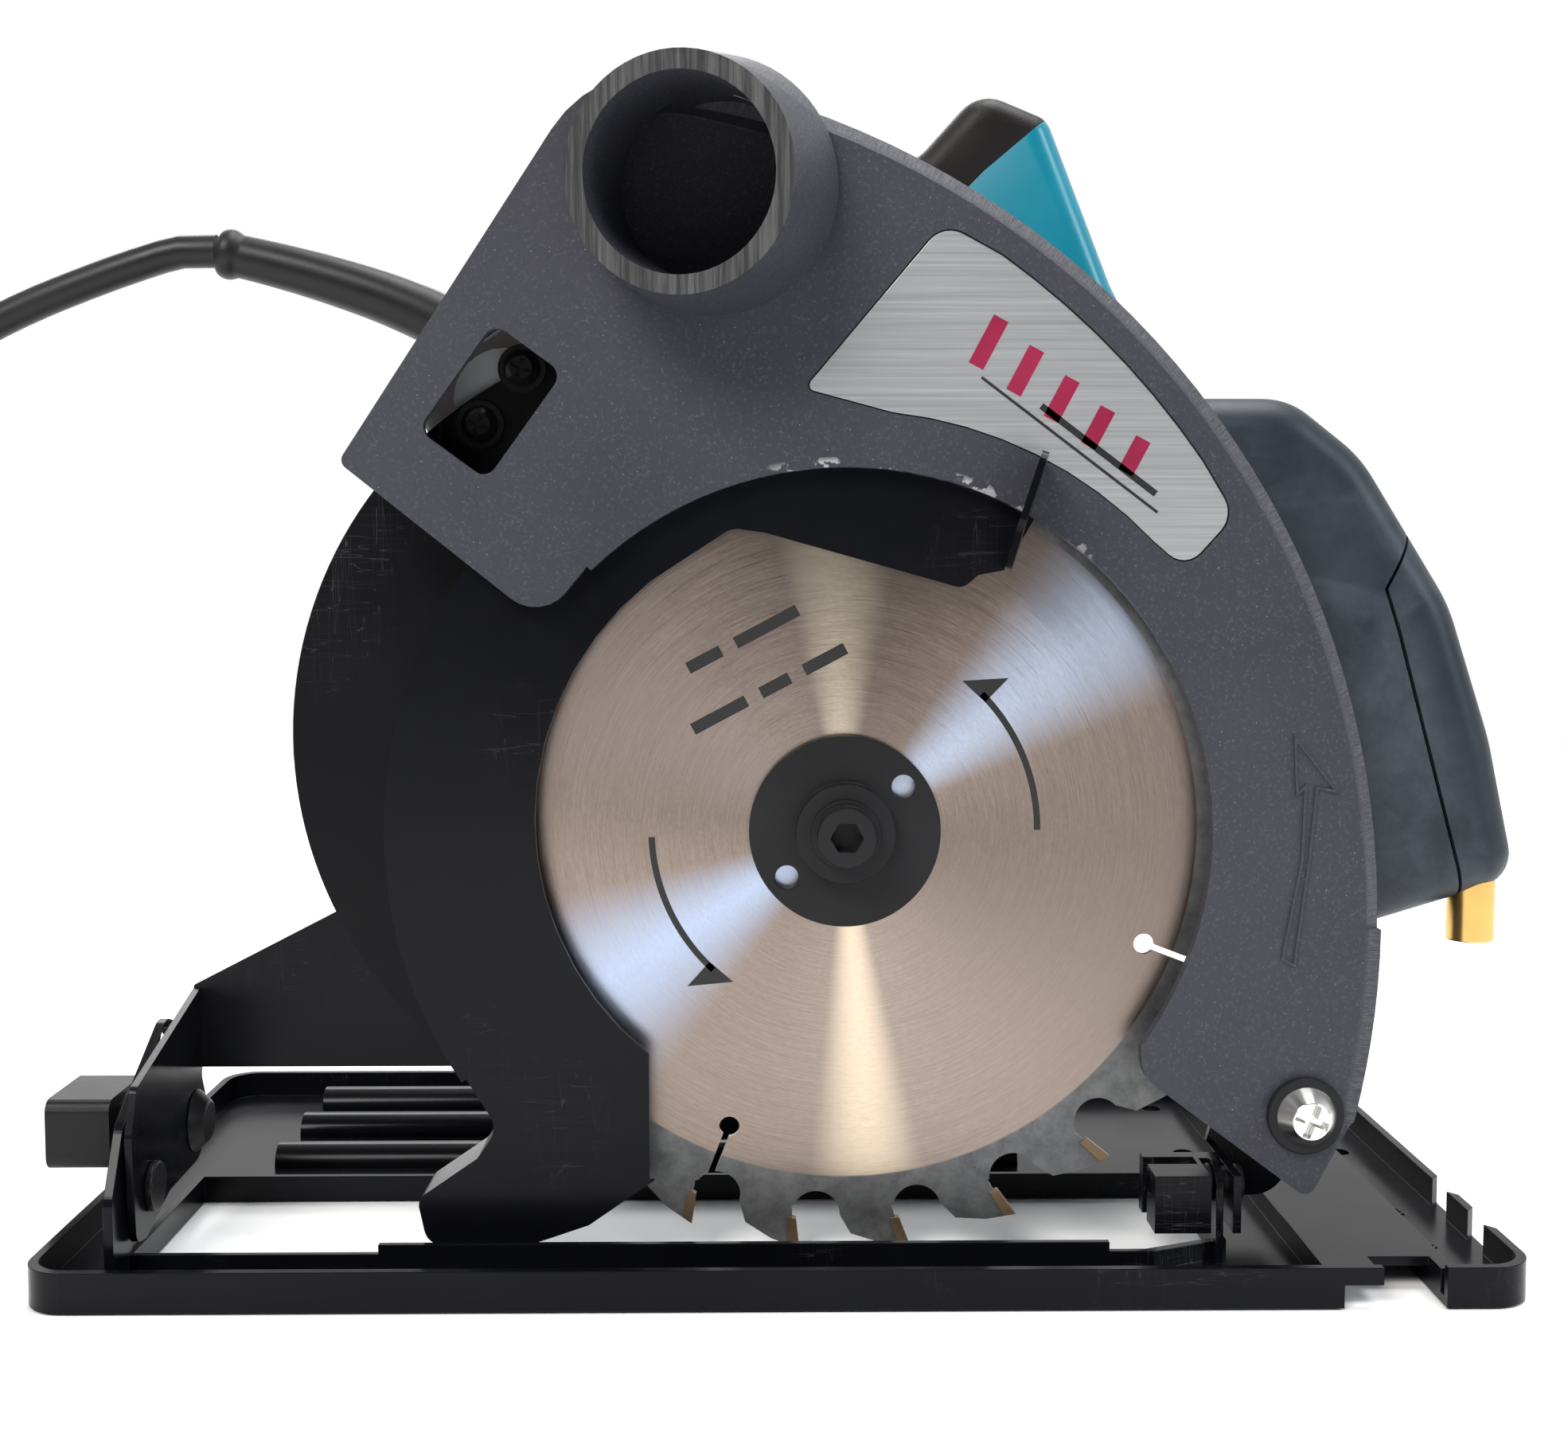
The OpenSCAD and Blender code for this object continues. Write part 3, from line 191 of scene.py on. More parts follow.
def guard_paint():
    m, t, p = shader("guard_paint", (0.045, 0.047, 0.055), 0.55, 0.0, IOR=1.33)
    grain = noise(t, 1500.0, 4.0, 0.75)
    coarse = noise(t, 420.0, 3.0, 0.6)
    broad = noise(t, 9.0, 4.0, 0.6)
    tone = mix(t, ramp(t, broad, 0.3, 0.7), (0.027, 0.028, 0.037), (0.04, 0.041, 0.052))
    tone = mix(t, ramp(t, grain, 0.55, 0.72), tone, (0.085, 0.085, 0.1))
    spark = node(t, "ShaderNodeTexVoronoi", {"Vector": coords(t), "Scale": 900.0})
    rare = math_node(t, "MULTIPLY", ramp(t, spark.outputs["Distance"], 0.12, 0.05),
                     ramp(t, noise(t, 500.0, 0.0), 0.6, 0.7))
    tone = mix(t, math_node(t, "MULTIPLY", rare, 0.6), tone, (0.4, 0.4, 0.42))
    # worn to metal along the inner arc, and streaked where the outer edge was dressed
    r, a, sep = polar_xz(t, SPINDLE)
    edge = band(t, r, 76.5, 78.6, 0.6)
    chips = math_node(t, "MULTIPLY", math_node(t, "MULTIPLY", edge, ramp(t, noise(t, 210.0, 3.0), 0.56, 0.6)),
                      band(t, a, 0.9, 1.75, 0.1))
    rb, ab, _ = polar_xz(t, BIG_C)
    streak = node(t, "ShaderNodeCombineXYZ", {0: math_node(t, "MULTIPLY", ab, 160.0), 1: 0.0,
                                              2: math_node(t, "MULTIPLY", rb, 0.05)})
    lines = noise(t, 6.0, 3.0, 0.7, streak.outputs[0])
    outer = ramp(t, rb, 176.0, 177.2)
    tone = mix(t, math_node(t, "MULTIPLY", outer, ramp(t, lines, 0.45, 0.75, 0.05, 0.75)), tone, (0.16, 0.16, 0.17))
    # the dust port's mouth is a raw cut
    tip = Vector((-14.9, -60, 228.1)) + 25 * Vector((-0.1883, -0.9776, -0.0941))
    rel = node(t, "ShaderNodeVectorMath", {0: coords(t), 1: tip * MM}, operation="SUBTRACT")
    dot = node(t, "ShaderNodeVectorMath", {0: rel.outputs[0], 1: (-0.1883, -0.9776, -0.0941)}, operation="DOT_PRODUCT")
    mouth = ramp(t, dot.outputs["Value"], -0.0007, -0.0003)
    cut = node(t, "ShaderNodeMapping", {"Vector": coords(t), "Rotation": (0, 0.5, 0), "Scale": (700, 60, 25)})
    marks = noise(t, 1.0, 3.0, 0.8, cut.outputs[0])
    tone = mix(t, mouth, tone, mix(t, ramp(t, marks, 0.4, 0.65), (0.035, 0.035, 0.036), (0.1, 0.1, 0.1)))
    tone = mix(t, chips, tone, (0.45, 0.45, 0.46))
    t.links.new(tone, p.inputs["Base Color"])
    t.links.new(math_node(t, "MAXIMUM", chips, math_node(t, "MULTIPLY", mouth, 0.5)), p.inputs["Metallic"])
    t.links.new(ramp(t, grain, 0.3, 0.7, 0.62, 0.42), p.inputs["Roughness"])
    first = bump(t, p, coarse, 0.25, 0.0003)
    second = bump(t, p, grain, 0.35, 0.00018, first)
    bump(t, p, math_node(t, "MULTIPLY", lines, outer), 0.4, 0.0004, second)
    return m


def blade_steel():
    m, t, p = shader("blade_steel", (0.5, 0.45, 0.41), 0.3, 1.0)
    r, a, sep = polar_xz(t, SPINDLE)
    # circular brushing, fine in radius and long in angle
    ring = node(t, "ShaderNodeCombineXYZ", {0: math_node(t, "MULTIPLY", r, 2.6),
                                            1: math_node(t, "MULTIPLY", math_node(t, "SINE", a), 2.4),
                                            2: math_node(t, "MULTIPLY", math_node(t, "COSINE", a), 2.4)})
    brushed = noise(t, 1.6, 6.0, 0.75, ring.outputs[0])
    arcs = node(t, "ShaderNodeCombineXYZ", {0: math_node(t, "MULTIPLY", r, 0.9),
                                            1: math_node(t, "MULTIPLY", math_node(t, "SINE", a), 14.0),
                                            2: math_node(t, "MULTIPLY", math_node(t, "COSINE", a), 14.0)})
    strokes = noise(t, 2.2, 4.0, 0.7, arcs.outputs[0])
    tone = mix(t, ramp(t, brushed, 0.3, 0.7), (0.25, 0.195, 0.165), (0.42, 0.345, 0.3))
    tone = mix(t, ramp(t, strokes, 0.35, 0.7, 0.0, 0.45), tone, (0.2, 0.165, 0.15))
    # painted highlights: the sheen of a brushed disc, painted into the colour as bright lobes running out along a few
    # directions
    for at, width, strength, highlight_tint in (
            (1.60, 0.10, 0.8, (0.9, 0.78, 0.6)), (0.68, 0.14, 0.8, (0.6, 0.72, 0.95)), (3.72, 0.17, 0.7, (0.5, 0.64, 0.9)),
            (4.78, 0.08, 0.7, (0.9, 0.74, 0.55)), (2.62, 0.2, 0.15, (0.7, 0.6, 0.6)), (5.6, 0.3, 0.12, (0.7, 0.6, 0.55))):
        turn = math_node(t, "COSINE", math_node(t, "SUBTRACT", a, at))
        painted_reflection = ramp(t, turn, math.cos(width * 2.2), 1.0)
        painted_reflection = math_node(t, "POWER", painted_reflection, 1.5)
        speck = ramp(t, strokes, 0.3, 0.7, 0.75, 1.1)
        tone = mix(t, math_node(t, "MULTIPLY", math_node(t, "MULTIPLY", painted_reflection, speck), strength), tone, highlight_tint)
    # painted shade: darker reflection lobes painted into the colour along other directions
    for at, width, strength in ((1.13, 0.35, 0.3), (3.0, 0.35, 0.25), (5.95, 0.5, 0.35), (4.3, 0.3, 0.2)):
        turn = math_node(t, "COSINE", math_node(t, "SUBTRACT", a, at))
        painted_reflection = ramp(t, turn, math.cos(width * 2.0), 1.0)
        tone = mix(t, math_node(t, "MULTIPLY", painted_reflection, strength), tone, (0.12, 0.085, 0.07))
    rim = ramp(t, r, 75.8, 76.2)
    grey = mix(t, ramp(t, noise(t, 240.0, 5.0, 0.7), 0.35, 0.7), (0.13, 0.132, 0.135), (0.23, 0.232, 0.235))
    tone = mix(t, rim, tone, grey)
    t.links.new(tone, p.inputs["Base Color"])
    t.links.new(ramp(t, rim, 0, 1, 1.0, 0.75), p.inputs["Metallic"])
    t.links.new(math_node(t, "ADD", ramp(t, brushed, 0.3, 0.7, 0.26, 0.4), math_node(t, "MULTIPLY", rim, 0.2)),
                p.inputs["Roughness"])
    tangent = node(t, "ShaderNodeTangent", direction_type="RADIAL", axis="Y")
    t.links.new(tangent.outputs[0], p.inputs["Tangent"])
    p.inputs["Anisotropic"].default_value = 0.7
    bump(t, p, brushed, 0.12, 0.0001)
    return m


def label_metal():
    m, t, p = shader("label_foil", (0.62, 0.63, 0.64), 0.42, 0.85)
    v = node(t, "ShaderNodeMapping", {"Vector": coords(t), "Rotation": (0, 0.62, 0), "Scale": (14, 14, 1400)})
    lines = noise(t, 1.0, 4.0, 0.7, v.outputs[0])
    t.links.new(mix(t, ramp(t, lines, 0.3, 0.7), (0.36, 0.37, 0.38), (0.55, 0.56, 0.57)), p.inputs["Base Color"])
    bump(t, p, lines, 0.15, 0.0001)
    return m


def worn_plastic(name, base, worn, rough, grain=1400.0):
    m, t, p = shader(name, base, rough, 0.0, IOR=1.36)
    point = node(t, "ShaderNodeNewGeometry").outputs["Pointiness"]
    patch = ramp(t, noise(t, 60.0, 5.0, 0.7), 0.35, 0.65, 0.2, 1.0)
    edge = math_node(t, "MULTIPLY", ramp(t, point, 0.508, 0.55), patch)
    broad = noise(t, 18.0, 4.0)
    tone = mix(t, ramp(t, broad, 0.3, 0.7), base, [c * 1.15 for c in base])
    tone = mix(t, math_node(t, "MULTIPLY", edge, 0.7), tone, worn)
    scratched(t, p, tone, worn, 0.35)
    t.links.new(ramp(t, broad, 0.3, 0.7, rough * 0.85, rough * 1.2), p.inputs["Roughness"])
    bump(t, p, noise(t, grain, 2.0, 0.6), 0.22, 0.00015)
    return m


MAT = {
    "guard": guard_paint(),
    "label": label_metal(),
    "black": gloss_black("black_paint"),
    "black_soft": gloss_black("black_paint_soft", (0.0028, 0.003, 0.004), 0.3, 0.5),
    "oxide": gloss_black("black_oxide", (0.012, 0.012, 0.013), 0.3, 0.25),
    "chrome": plain("bright_zinc", (0.72, 0.71, 0.69), 0.22, 1.0, 300, 0.05),
    "steel": plain("machined_steel", (0.5, 0.5, 0.51), 0.32, 1.0, 500, 0.06),
    "alloy": plain("cast_alloy", (0.42, 0.43, 0.45), 0.5, 0.9, 350, 0.35),
    "teal": plain("teal_plastic", (0.002, 0.19, 0.27), 0.3, 0.0, 1300, 0.06, 0.06),
    "plastic": plain("black_plastic", (0.006, 0.006, 0.0068), 0.42, 0.0, 1100, 0.2, IOR=1.32),
    "rubber": plain("brown_rubber", (0.009, 0.0072, 0.0066), 0.5, 0.0, 1500, 0.3, 0.2, IOR=1.32),
    "navy": worn_plastic("navy_plastic", (0.008, 0.0125, 0.019), (0.05, 0.062, 0.075), 0.45),
    "blade": blade_steel(),
    "carbide": plain("carbide", (0.2, 0.14, 0.08), 0.42, 0.8, 700, 0.3, 0.3),
    "core": plain("laminations", (0.2, 0.19, 0.19), 0.5, 0.7),
    "copper": plain("copper", (0.5, 0.2, 0.08), 0.35, 0.9),
    "carbon": plain("graphite", (0.03, 0.03, 0.03), 0.7),
    "brass": plain("brass_tube", (0.62, 0.40, 0.13), 0.24, 1.0, 240, 0.06, 0.18),
    "red": plain("red_plastic", (0.35, 0.01, 0.01), 0.35),
    "cord": plain("cord_rubber", (0.007, 0.007, 0.0078), 0.42, 0.0, 900, 0.15, 0.25, IOR=1.36),
    "ink": plain("printing_ink", (0.004, 0.004, 0.005), 0.45),
    "crimson": plain("crimson_ink", (0.22, 0.002, 0.035), 0.4),
    "lens": plain("lens", (0.1, 0.01, 0.01), 0.1),
}
LOOK = {
    "guard_paint": "guard", "label": "label", "black_paint": "black", "bright_screw": "chrome", "dark_screw": "oxide",
    "cast_alloy": "alloy", "teal_plastic": "teal", "black_plastic": "plastic", "brown_rubber": "rubber",
    "navy_plastic": "navy", "steel": "steel", "blade_steel": "blade", "carbide": "carbide", "core_steel": "core",
    "copper": "copper", "carbon": "carbon", "brass": "brass", "red_plastic": "red", "cord_rubber": "cord",
}
SLOT = {s["node"]: s["material_slot"] for s in frame["record"]["subparts"]}
# Rounding of each CAD node's edges, in mm
ROUND = {
    "upper_guard": 1.0, "base_plate": 0.7, "rear_bracket": 0.4, "front_bracket": 0.4, "lower_guard": 0.35,
    "gear_housing": 1.0, "motor_housing": 0.7, "end_cap": 0.8, "trigger": 1.6, "bevel_knob": 1.2, "plug": 1.0,
    "depth_lever": 1.0, "blade": 0.12, "carbide_tips": 0.08, "outer_flange": 0.35, "blade_bolt": 0.3, "cord_tie": 0.3,
    "depth_screw": 0.3, "pivot_collar": 0.4, "spindle_lock": 0.8, "lock_off_button": 0.8, "laser_switch": 0.5,
    "laser_module": 0.4, "shield_screws": 0.2, "housing_screws": 0.2, "handle_screws": 0.2, "grip_screws": 0.2,
    "bevel_rivets": 0.5, "bevel_bolt": 0.5, "rear_shield": 0.2, "brush_caps": 0.5, "label_plate": 0.12,
    "inner_flange": 0.3, "plug_pins": 0.3,
}


def finish_edges(o, width, angle=32):
    m = o.modifiers.new("weld", "WELD")
    m.merge_threshold = 0.000004
    m = o.modifiers.new("flat", "DECIMATE")
    m.decimate_type = "DISSOLVE"
    m.angle_limit = math.radians(0.6)
    m = o.modifiers.new("round", "BEVEL")
    m.width = width * MM
    m.segments = 3
    m.limit_method = "ANGLE"
    m.angle_limit = math.radians(angle)
    m.use_clamp_overlap = True
    m.harden_normals = False
    m.miter_outer = "MITER_ARC"
    m = o.modifiers.new("normals", "WEIGHTED_NORMAL")
    m.keep_sharp = True


for name, o in nodes.items():
    look = MAT[LOOK[SLOT[name]]]
    if name in ("rear_shield", "lower_guard"):
        look = MAT["black_soft"] if name == "rear_shield" else MAT["black"]
    if name == "blade_bolt" or name == "outer_flange":
        look = MAT["oxide"]
    if not o.material_slots:
        o.data.materials.append(look)
    for s in o.material_slots:
        s.link = "OBJECT"
        s.material = look
    if name in ROUND:
        finish_edges(o, ROUND[name])


# ---- helpers for hand-built pieces ----
def add(name, data, material, body="saw"):
    o = bpy.data.objects.new(name, data)
    scene.collection.objects.link(o)
    o.data.materials.clear()
    o.data.materials.append(MAT[material])
    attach(o, body)
    return o


def apply_modifiers(o):
    bpy.context.view_layer.update()
    graph = bpy.context.evaluated_depsgraph_get()
    mesh = bpy.data.meshes.new_from_object(o.evaluated_get(graph))
    o.modifiers.clear()
    old = o.data
    o.data = mesh
    return old


def smooth(o, angle=40):
    for p in o.data.polygons:
        p.use_smooth = True
    o.data.set_sharp_from_angle(angle=math.radians(angle))


def outward(bm):
    """Turns a closed mesh's faces outwards."""
    bmesh.ops.recalc_face_normals(bm, faces=bm.faces)
    if bm.calc_volume(signed=True) < 0:
        bmesh.ops.reverse_faces(bm, faces=bm.faces)


def fillet(points, n=7):
    """Rounds the corners of [(x, z, radius), ...] into a list of 2D points."""
    out = []
    for i, (x, z, r) in enumerate(points):
        if r <= 0:
            out.append(Vector((x, z)))
            continue
        b = Vector((x, z))
        u = (Vector(points[i - 1][:2]) - b).normalized()
        v = (Vector(points[(i + 1) % len(points)][:2]) - b).normalized()
        half = math.acos(max(-1, min(1, u.dot(v)))) / 2
        c = b + (u + v).normalized() * (r / math.sin(half))
        p, q = b + u * (r / math.tan(half)) - c, b + v * (r / math.tan(half)) - c
        s = math.atan2(p.y, p.x)
        turn = math.atan2(p.x * q.y - p.y * q.x, p.dot(q))
        out += [c + r * Vector((math.cos(s + turn * k / n), math.sin(s + turn * k / n))) for k in range(n + 1)]
    return out


def rounded_slab(name, loops, y0, y1, edge):
    """A solid from X-Z outlines (the first outside, the others holes), with round edges."""
    curve = bpy.data.curves.new(name, "CURVE")
    curve.dimensions = "2D"
    curve.fill_mode = "BOTH"
    for loop in loops:
        s = curve.splines.new("POLY")
        s.points.add(len(loop) - 1)
        for pt, p in zip(s.points, loop):
            pt.co = (p[0] * MM, p[1] * MM, 0, 1)
        s.use_cyclic_u = True
    curve.extrude = ((y1 - y0) / 2 - edge) * MM
    curve.bevel_depth = edge * MM
    curve.bevel_resolution = 6
    curve.offset = -edge * MM
    o = bpy.data.objects.new(name, curve)
    scene.collection.objects.link(o)
    o.matrix_world = Matrix.Translation((0, (y0 + y1) / 2 * MM, 0)) @ Matrix.Rotation(math.radians(90), 4, "X")
    bpy.context.view_layer.update()
    mesh = bpy.data.meshes.new_from_object(o.evaluated_get(bpy.context.evaluated_depsgraph_get()))
    mesh.transform(o.matrix_world)
    bpy.data.objects.remove(o)
    bm = bmesh.new()
    bm.from_mesh(mesh)
    bmesh.ops.remove_doubles(bm, verts=bm.verts, dist=1e-6)
    outward(bm)
    bm.to_mesh(mesh)
    bm.free()
    return mesh


def prism(loop, y0, y1):
    """A mesh from an X-Z outline in mm, for cutting."""
    bm = bmesh.new()
    low = [bm.verts.new((p[0] * MM, y0 * MM, p[1] * MM)) for p in loop]
    top = [bm.verts.new((p[0] * MM, y1 * MM, p[1] * MM)) for p in loop]
    bm.faces.new(low)
    bm.faces.new(top[::-1])
    for i in range(len(loop)):
        j = (i + 1) % len(loop)
        bm.faces.new((low[i], top[i], top[j], low[j]))
    outward(bm)
    mesh = bpy.data.meshes.new("cutter")
    bm.to_mesh(mesh)
    bm.free()
    return mesh


def circle(c, r, n=128):
    return [(c[0] + r * math.cos(2 * math.pi * i / n), c[1] + r * math.sin(2 * math.pi * i / n)) for i in range(n)]


def boolean(o, mesh, op):
    cutter = bpy.data.objects.new("cutter", mesh)
    scene.collection.objects.link(cutter)
    m = o.modifiers.new("cut", "BOOLEAN")
    m.operation = op
    m.object = cutter
    m.solver = "MANIFOLD"
    apply_modifiers(o)
    bpy.data.objects.remove(cutter)


# ---- main handle ----
HANDLE = [(64.5, 257.8, 5.8), (80, 219, 24), (97, 186, 8), (96, 150, 8), (65, 127.5, 9), (58, 112, 8), (-16, 112, 8),
          (-27, 127, 9), (-34, 140, 7), (-66, 152, 10), (-88, 190, 9), (-80, 216, 8), (-52, 224, 30), (0, 239, 50),
          (33, 248, 14), (48, 264.5, 9)]
HAND = [(48, 226, 11), (68, 196, 16), (56, 174, 9), (-40, 171, 12), (-62, 188, 9), (-54, 201, 9), (0, 212, 50),
        (30, 221, 8)]
SPLIT = [(74, 265.7), (48.8, 244.6), (34, 229.5), (34, 205), (20, 196), (-70, 170), (-100, 190), (-90, 240), (30, 290),
         (60, 290)]
MOTOR_AXIS = (21.376, 122.03)
y0, y1 = HANDLE_Y - HANDLE_W / 2, HANDLE_Y + HANDLE_W / 2
body_mesh = rounded_slab("handle", [fillet(HANDLE), fillet(HAND)[::-1]], y0, y1, 5.6)
barrel = prism(circle(MOTOR_AXIS, 44.3), -20, 60)
slot_loop = [(8.2, 190), (44.2, 190), (44.2, 238), (6.0, 238), (6.0, 226)]
for name, material, op, stands in (
        ("handle_shell", "teal", "DIFFERENCE", ("handle_right", "handle_left")),
        ("handle_rubber", "rubber", "INTERSECT", ("handle_grip",))):
    o = add(name, body_mesh.copy(), material, "saw")
    boolean(o, barrel.copy(), "DIFFERENCE")
    boolean(o, prism(SPLIT, -40, 80), op)
    boolean(o, prism(slot_loop, HANDLE_Y - 8.3, HANDLE_Y + 8.3), "DIFFERENCE")
    if material == "teal":
        boolean(o, prism([(-110, 100), (110, 100), (110, 300), (-110, 300)], HANDLE_Y - 0.2, HANDLE_Y + 0.2), "DIFFERENCE")
        boolean(o, prism(circle((62, 232), 4.3, 40), HANDLE_Y + 4, HANDLE_Y + 40), "DIFFERENCE")
        for c in ((88, 176), (-62, 164), (-76, 198), (68, 214), (84, 152)):
            boolean(o, prism(circle(c, 3.7, 32), y0 - 5, y0 + 5.1), "DIFFERENCE")
    m = o.modifiers.new("round", "BEVEL")
    m.width, m.segments, m.limit_method, m.angle_limit = 0.45 * MM, 2, "ANGLE", math.radians(50)
    apply_modifiers(o)
    smooth(o, 35)
    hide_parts(*stands)

# ---- front grip ----
GRIP = [(63.2, 96, 8.2), (63.2, 160, 8.2), (84, 187.5, 14), (110.5, 187.5, 16), (126.5, 175, 30), (146.6, 143, 40),
        (156.2, 113.5, 60), (163, 82.4, 8.2), (132, 73, 9), (104, 66, 10), (80, 78, 16)]
COVER = [(140.5, 166), (130.4, 146.2), (133.4, 137), (149.6, 78), (150.4, 60), (190, 60), (190, 166)]
grip_mesh = rounded_slab("grip", [fillet(GRIP)], -46, 14.3, 8.0)
hull_box = [(-40, 58), (52, 58), (65, 122), (62, 160), (-20, 160)]
for name, op, stands in (("grip_body", "DIFFERENCE", "front_grip"), ("grip_cover", "INTERSECT", "battery_cover")):
    o = add(name, grip_mesh.copy(), "navy", "saw")
    boolean(o, prism(circle(BIG_C, BIG_R + 0.3, 360), -80, -29.8), "DIFFERENCE")
    boolean(o, prism(circle(MOTOR_AXIS, 44.2), -60, 40), "DIFFERENCE")
    boolean(o, prism(circle((58, 151), 7.3, 48), -60, 40), "DIFFERENCE")
    boolean(o, prism([(p[0], p[1]) for p in fillet(HANDLE)], 2.7, 60), "DIFFERENCE")
    loop = COVER
    if op == "INTERSECT":
        loop = [(141.2, 166), (131.2, 146.2), (134.2, 137.2), (150.4, 78), (151.2, 60), (190, 60), (190, 166)]
    boolean(o, prism(loop, -80, 40), op)
    if op == "DIFFERENCE":
        boolean(o, prism([(108, 146), (124.6, 146), (124.6, 154.6), (108, 154.6)], 9, 30), op)
        for c in ((105, 177), (122, 160), (112, 78)):
            boolean(o, prism(circle(c, 3.4, 32), 11, 30), op)
    smooth(o, 35)
    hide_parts(stands)


# ---- printing on the blade and label ----
def sheet_mesh(name, loops, y, thick, material, body):
    """Thin printed shapes in the X-Z plane, thick mm towards the viewer from y."""
    bm = bmesh.new()
    for loop in loops:
        low = [bm.verts.new((p[0] * MM, y * MM, p[1] * MM)) for p in loop]
        top = [bm.verts.new((p[0] * MM, (y - thick) * MM, p[1] * MM)) for p in loop]
        bm.faces.new(low)
        bm.faces.new(top)
        for i in range(len(loop)):
            j = (i + 1) % len(loop)
            bm.faces.new((low[i], top[i], top[j], low[j]))
    outward(bm)
    mesh = bpy.data.meshes.new(name)
    bm.to_mesh(mesh)
    bm.free()
    return add(name, mesh, material, body)


def polar(r, deg, c=SPINDLE):
    return (c[0] + r * math.cos(math.radians(deg)), c[1] + r * math.sin(math.radians(deg)))


arrows = []
for a0, a1 in ((0, 45), (182, 227)):
    steps = [a0 + (a1 - a0) * i / 24 for i in range(25)]
    arrows.append([polar(42.2, a) for a in steps] + [polar(40.8, a) for a in reversed(steps)])
    arrows.append([polar(48, a1 - 2), polar(40.8, a1 + 7), polar(40.8, a1 - 2.5)])
sheet_mesh("blade_arrows", arrows, BLADE_FACE, 0.04, "ink", "blade_unit")


def lettering(name, text, height, thick, place, material, body):
    """Flat raised text, thick mm high, moved by the matrix place."""
    curve = bpy.data.curves.new(name, "FONT")
    curve.body = text
    curve.size = height / 0.72 * MM
    curve.align_x, curve.align_y = "CENTER", "CENTER"
    curve.extrude = thick / 2 * MM
    o = bpy.data.objects.new(name, curve)
    scene.collection.objects.link(o)
    o.matrix_world = place
    bpy.context.view_layer.update()
    mesh = bpy.data.meshes.new_from_object(o.evaluated_get(bpy.context.evaluated_depsgraph_get()))
    mesh.transform(o.matrix_world)
    bpy.data.objects.remove(o)
    return add(name, mesh, material, body)


def at(x, y, z):
    return Matrix.Translation((x * MM, y * MM, z * MM))


def bar(c, length, width, deg):
    d = Vector((math.cos(math.radians(deg)), math.sin(math.radians(deg))))
    n = Vector((-d.y, d.x))
    c = Vector(c)
    return [tuple(c + d * sx * length / 2 + n * sz * width / 2) for sx, sz in ((-1, -1), (1, -1), (1, 1), (-1, 1))]


def dashes(middle, lengths, gap, height, deg):
    """Plain bars in a row, where the real object has a line of print."""
    along = Vector((math.cos(math.radians(deg)), math.sin(math.radians(deg))))
    reach = -(sum(lengths) + gap * (len(lengths) - 1)) / 2
    loops = []
    for length in lengths:
        loops.append(bar(middle + along * (reach + length / 2), length, height, deg))
        reach += length + gap
    return loops


PRINT_DEG = 28
up = Vector((-math.sin(math.radians(PRINT_DEG)), math.cos(math.radians(PRINT_DEG))))
sheet_mesh("blade_marks",
           dashes(Vector(SPINDLE) + up * 34.5, (13, 7, 10), 3.5, 2.6, PRINT_DEG)
           + dashes(Vector(SPINDLE) + up * 46.5, (8, 15), 3.5, 2.6, PRINT_DEG),
           BLADE_FACE, 0.04, "ink", "blade_unit")
turned = Matrix.Rotation(math.radians(90), 4, "Z")
for name, text, y in (("angle_figure_0", "0", -48), ("angle_figure_45", "45", -26)):
    lettering(name, text, 5, 0.3, at(142.5, y, BASE_TOP + 0.1) @ turned, "black", "base")

LABEL_Y = GUARD_FACE + 0.2
sheet_mesh("label_bars", [bar((43 + 7.6 * i, 197 - 5.8 * i), 11 - 0.8 * i, 3.4, 62) for i in range(5)],
           LABEL_Y, 0.05, "crimson", "saw")
sheet_mesh("label_lines", [bar((60, 176), 46, 0.6, -37), bar((66, 175), 30, 1.4, -37)],
           LABEL_Y, 0.05, "ink", "saw")

# ---- mains cord ----
CORD_D = 8.0
ROUTE = [(-137.2, 20, 228.54), (-146, 20, 228.4), (-156, 20, 225.6), (-170, 20, 220.6), (-186, 20, 214), (-202, 20, 205.6),
         (-218, 19, 194), (-232, 17, 179), (-243, 14, 161), (-251, 10, 141), (-256, 5, 120), (-258.6, 0, 98),
         (-259.6, -6, 76), (-260, -12, 55), (-260.6, -17.4, 37), (-263, -21.6, 21), (-269, -22.6, 11)]
COIL_C = (-276.0, 34.0)
TAIL = [(-333, 36, 13.6), (-334, 50, 15), (-334, 62, 17.2), (-334, 72, 18.7), (-334, 78.1, 19)]
PLACES = [(56, 5), (48, 5), (40, 5), (40, 13.1), (48, 13.1), (56, 13.1)]
SHIFTS = [0.45, 1.45, 2.45, 3.45, 5.0]
turns = []
total = 5.213
for i in range(int(total * 30) + 1):
    u = i / 30
    k = sum(1 for s in SHIFTS if u >= s)
    r, z = PLACES[k]
    if k:
        f = (u - SHIFTS[k - 1]) / 0.2
        if f < 1:
            f = f * f * (3 - 2 * f)
            q = PLACES[k - 1]
            bulge = 3.2 * 4 * f * (1 - f) if k == 3 else 0
            r, z = q[0] + (r - q[0]) * f - bulge, q[1] + (z - q[1]) * f
    a = math.radians(-92 - 360 * u)
    turns.append((COIL_C[0] + r * math.cos(a), COIL_C[1] + r * math.sin(a), z))
path = [Vector(p) for p in ROUTE + turns + TAIL]


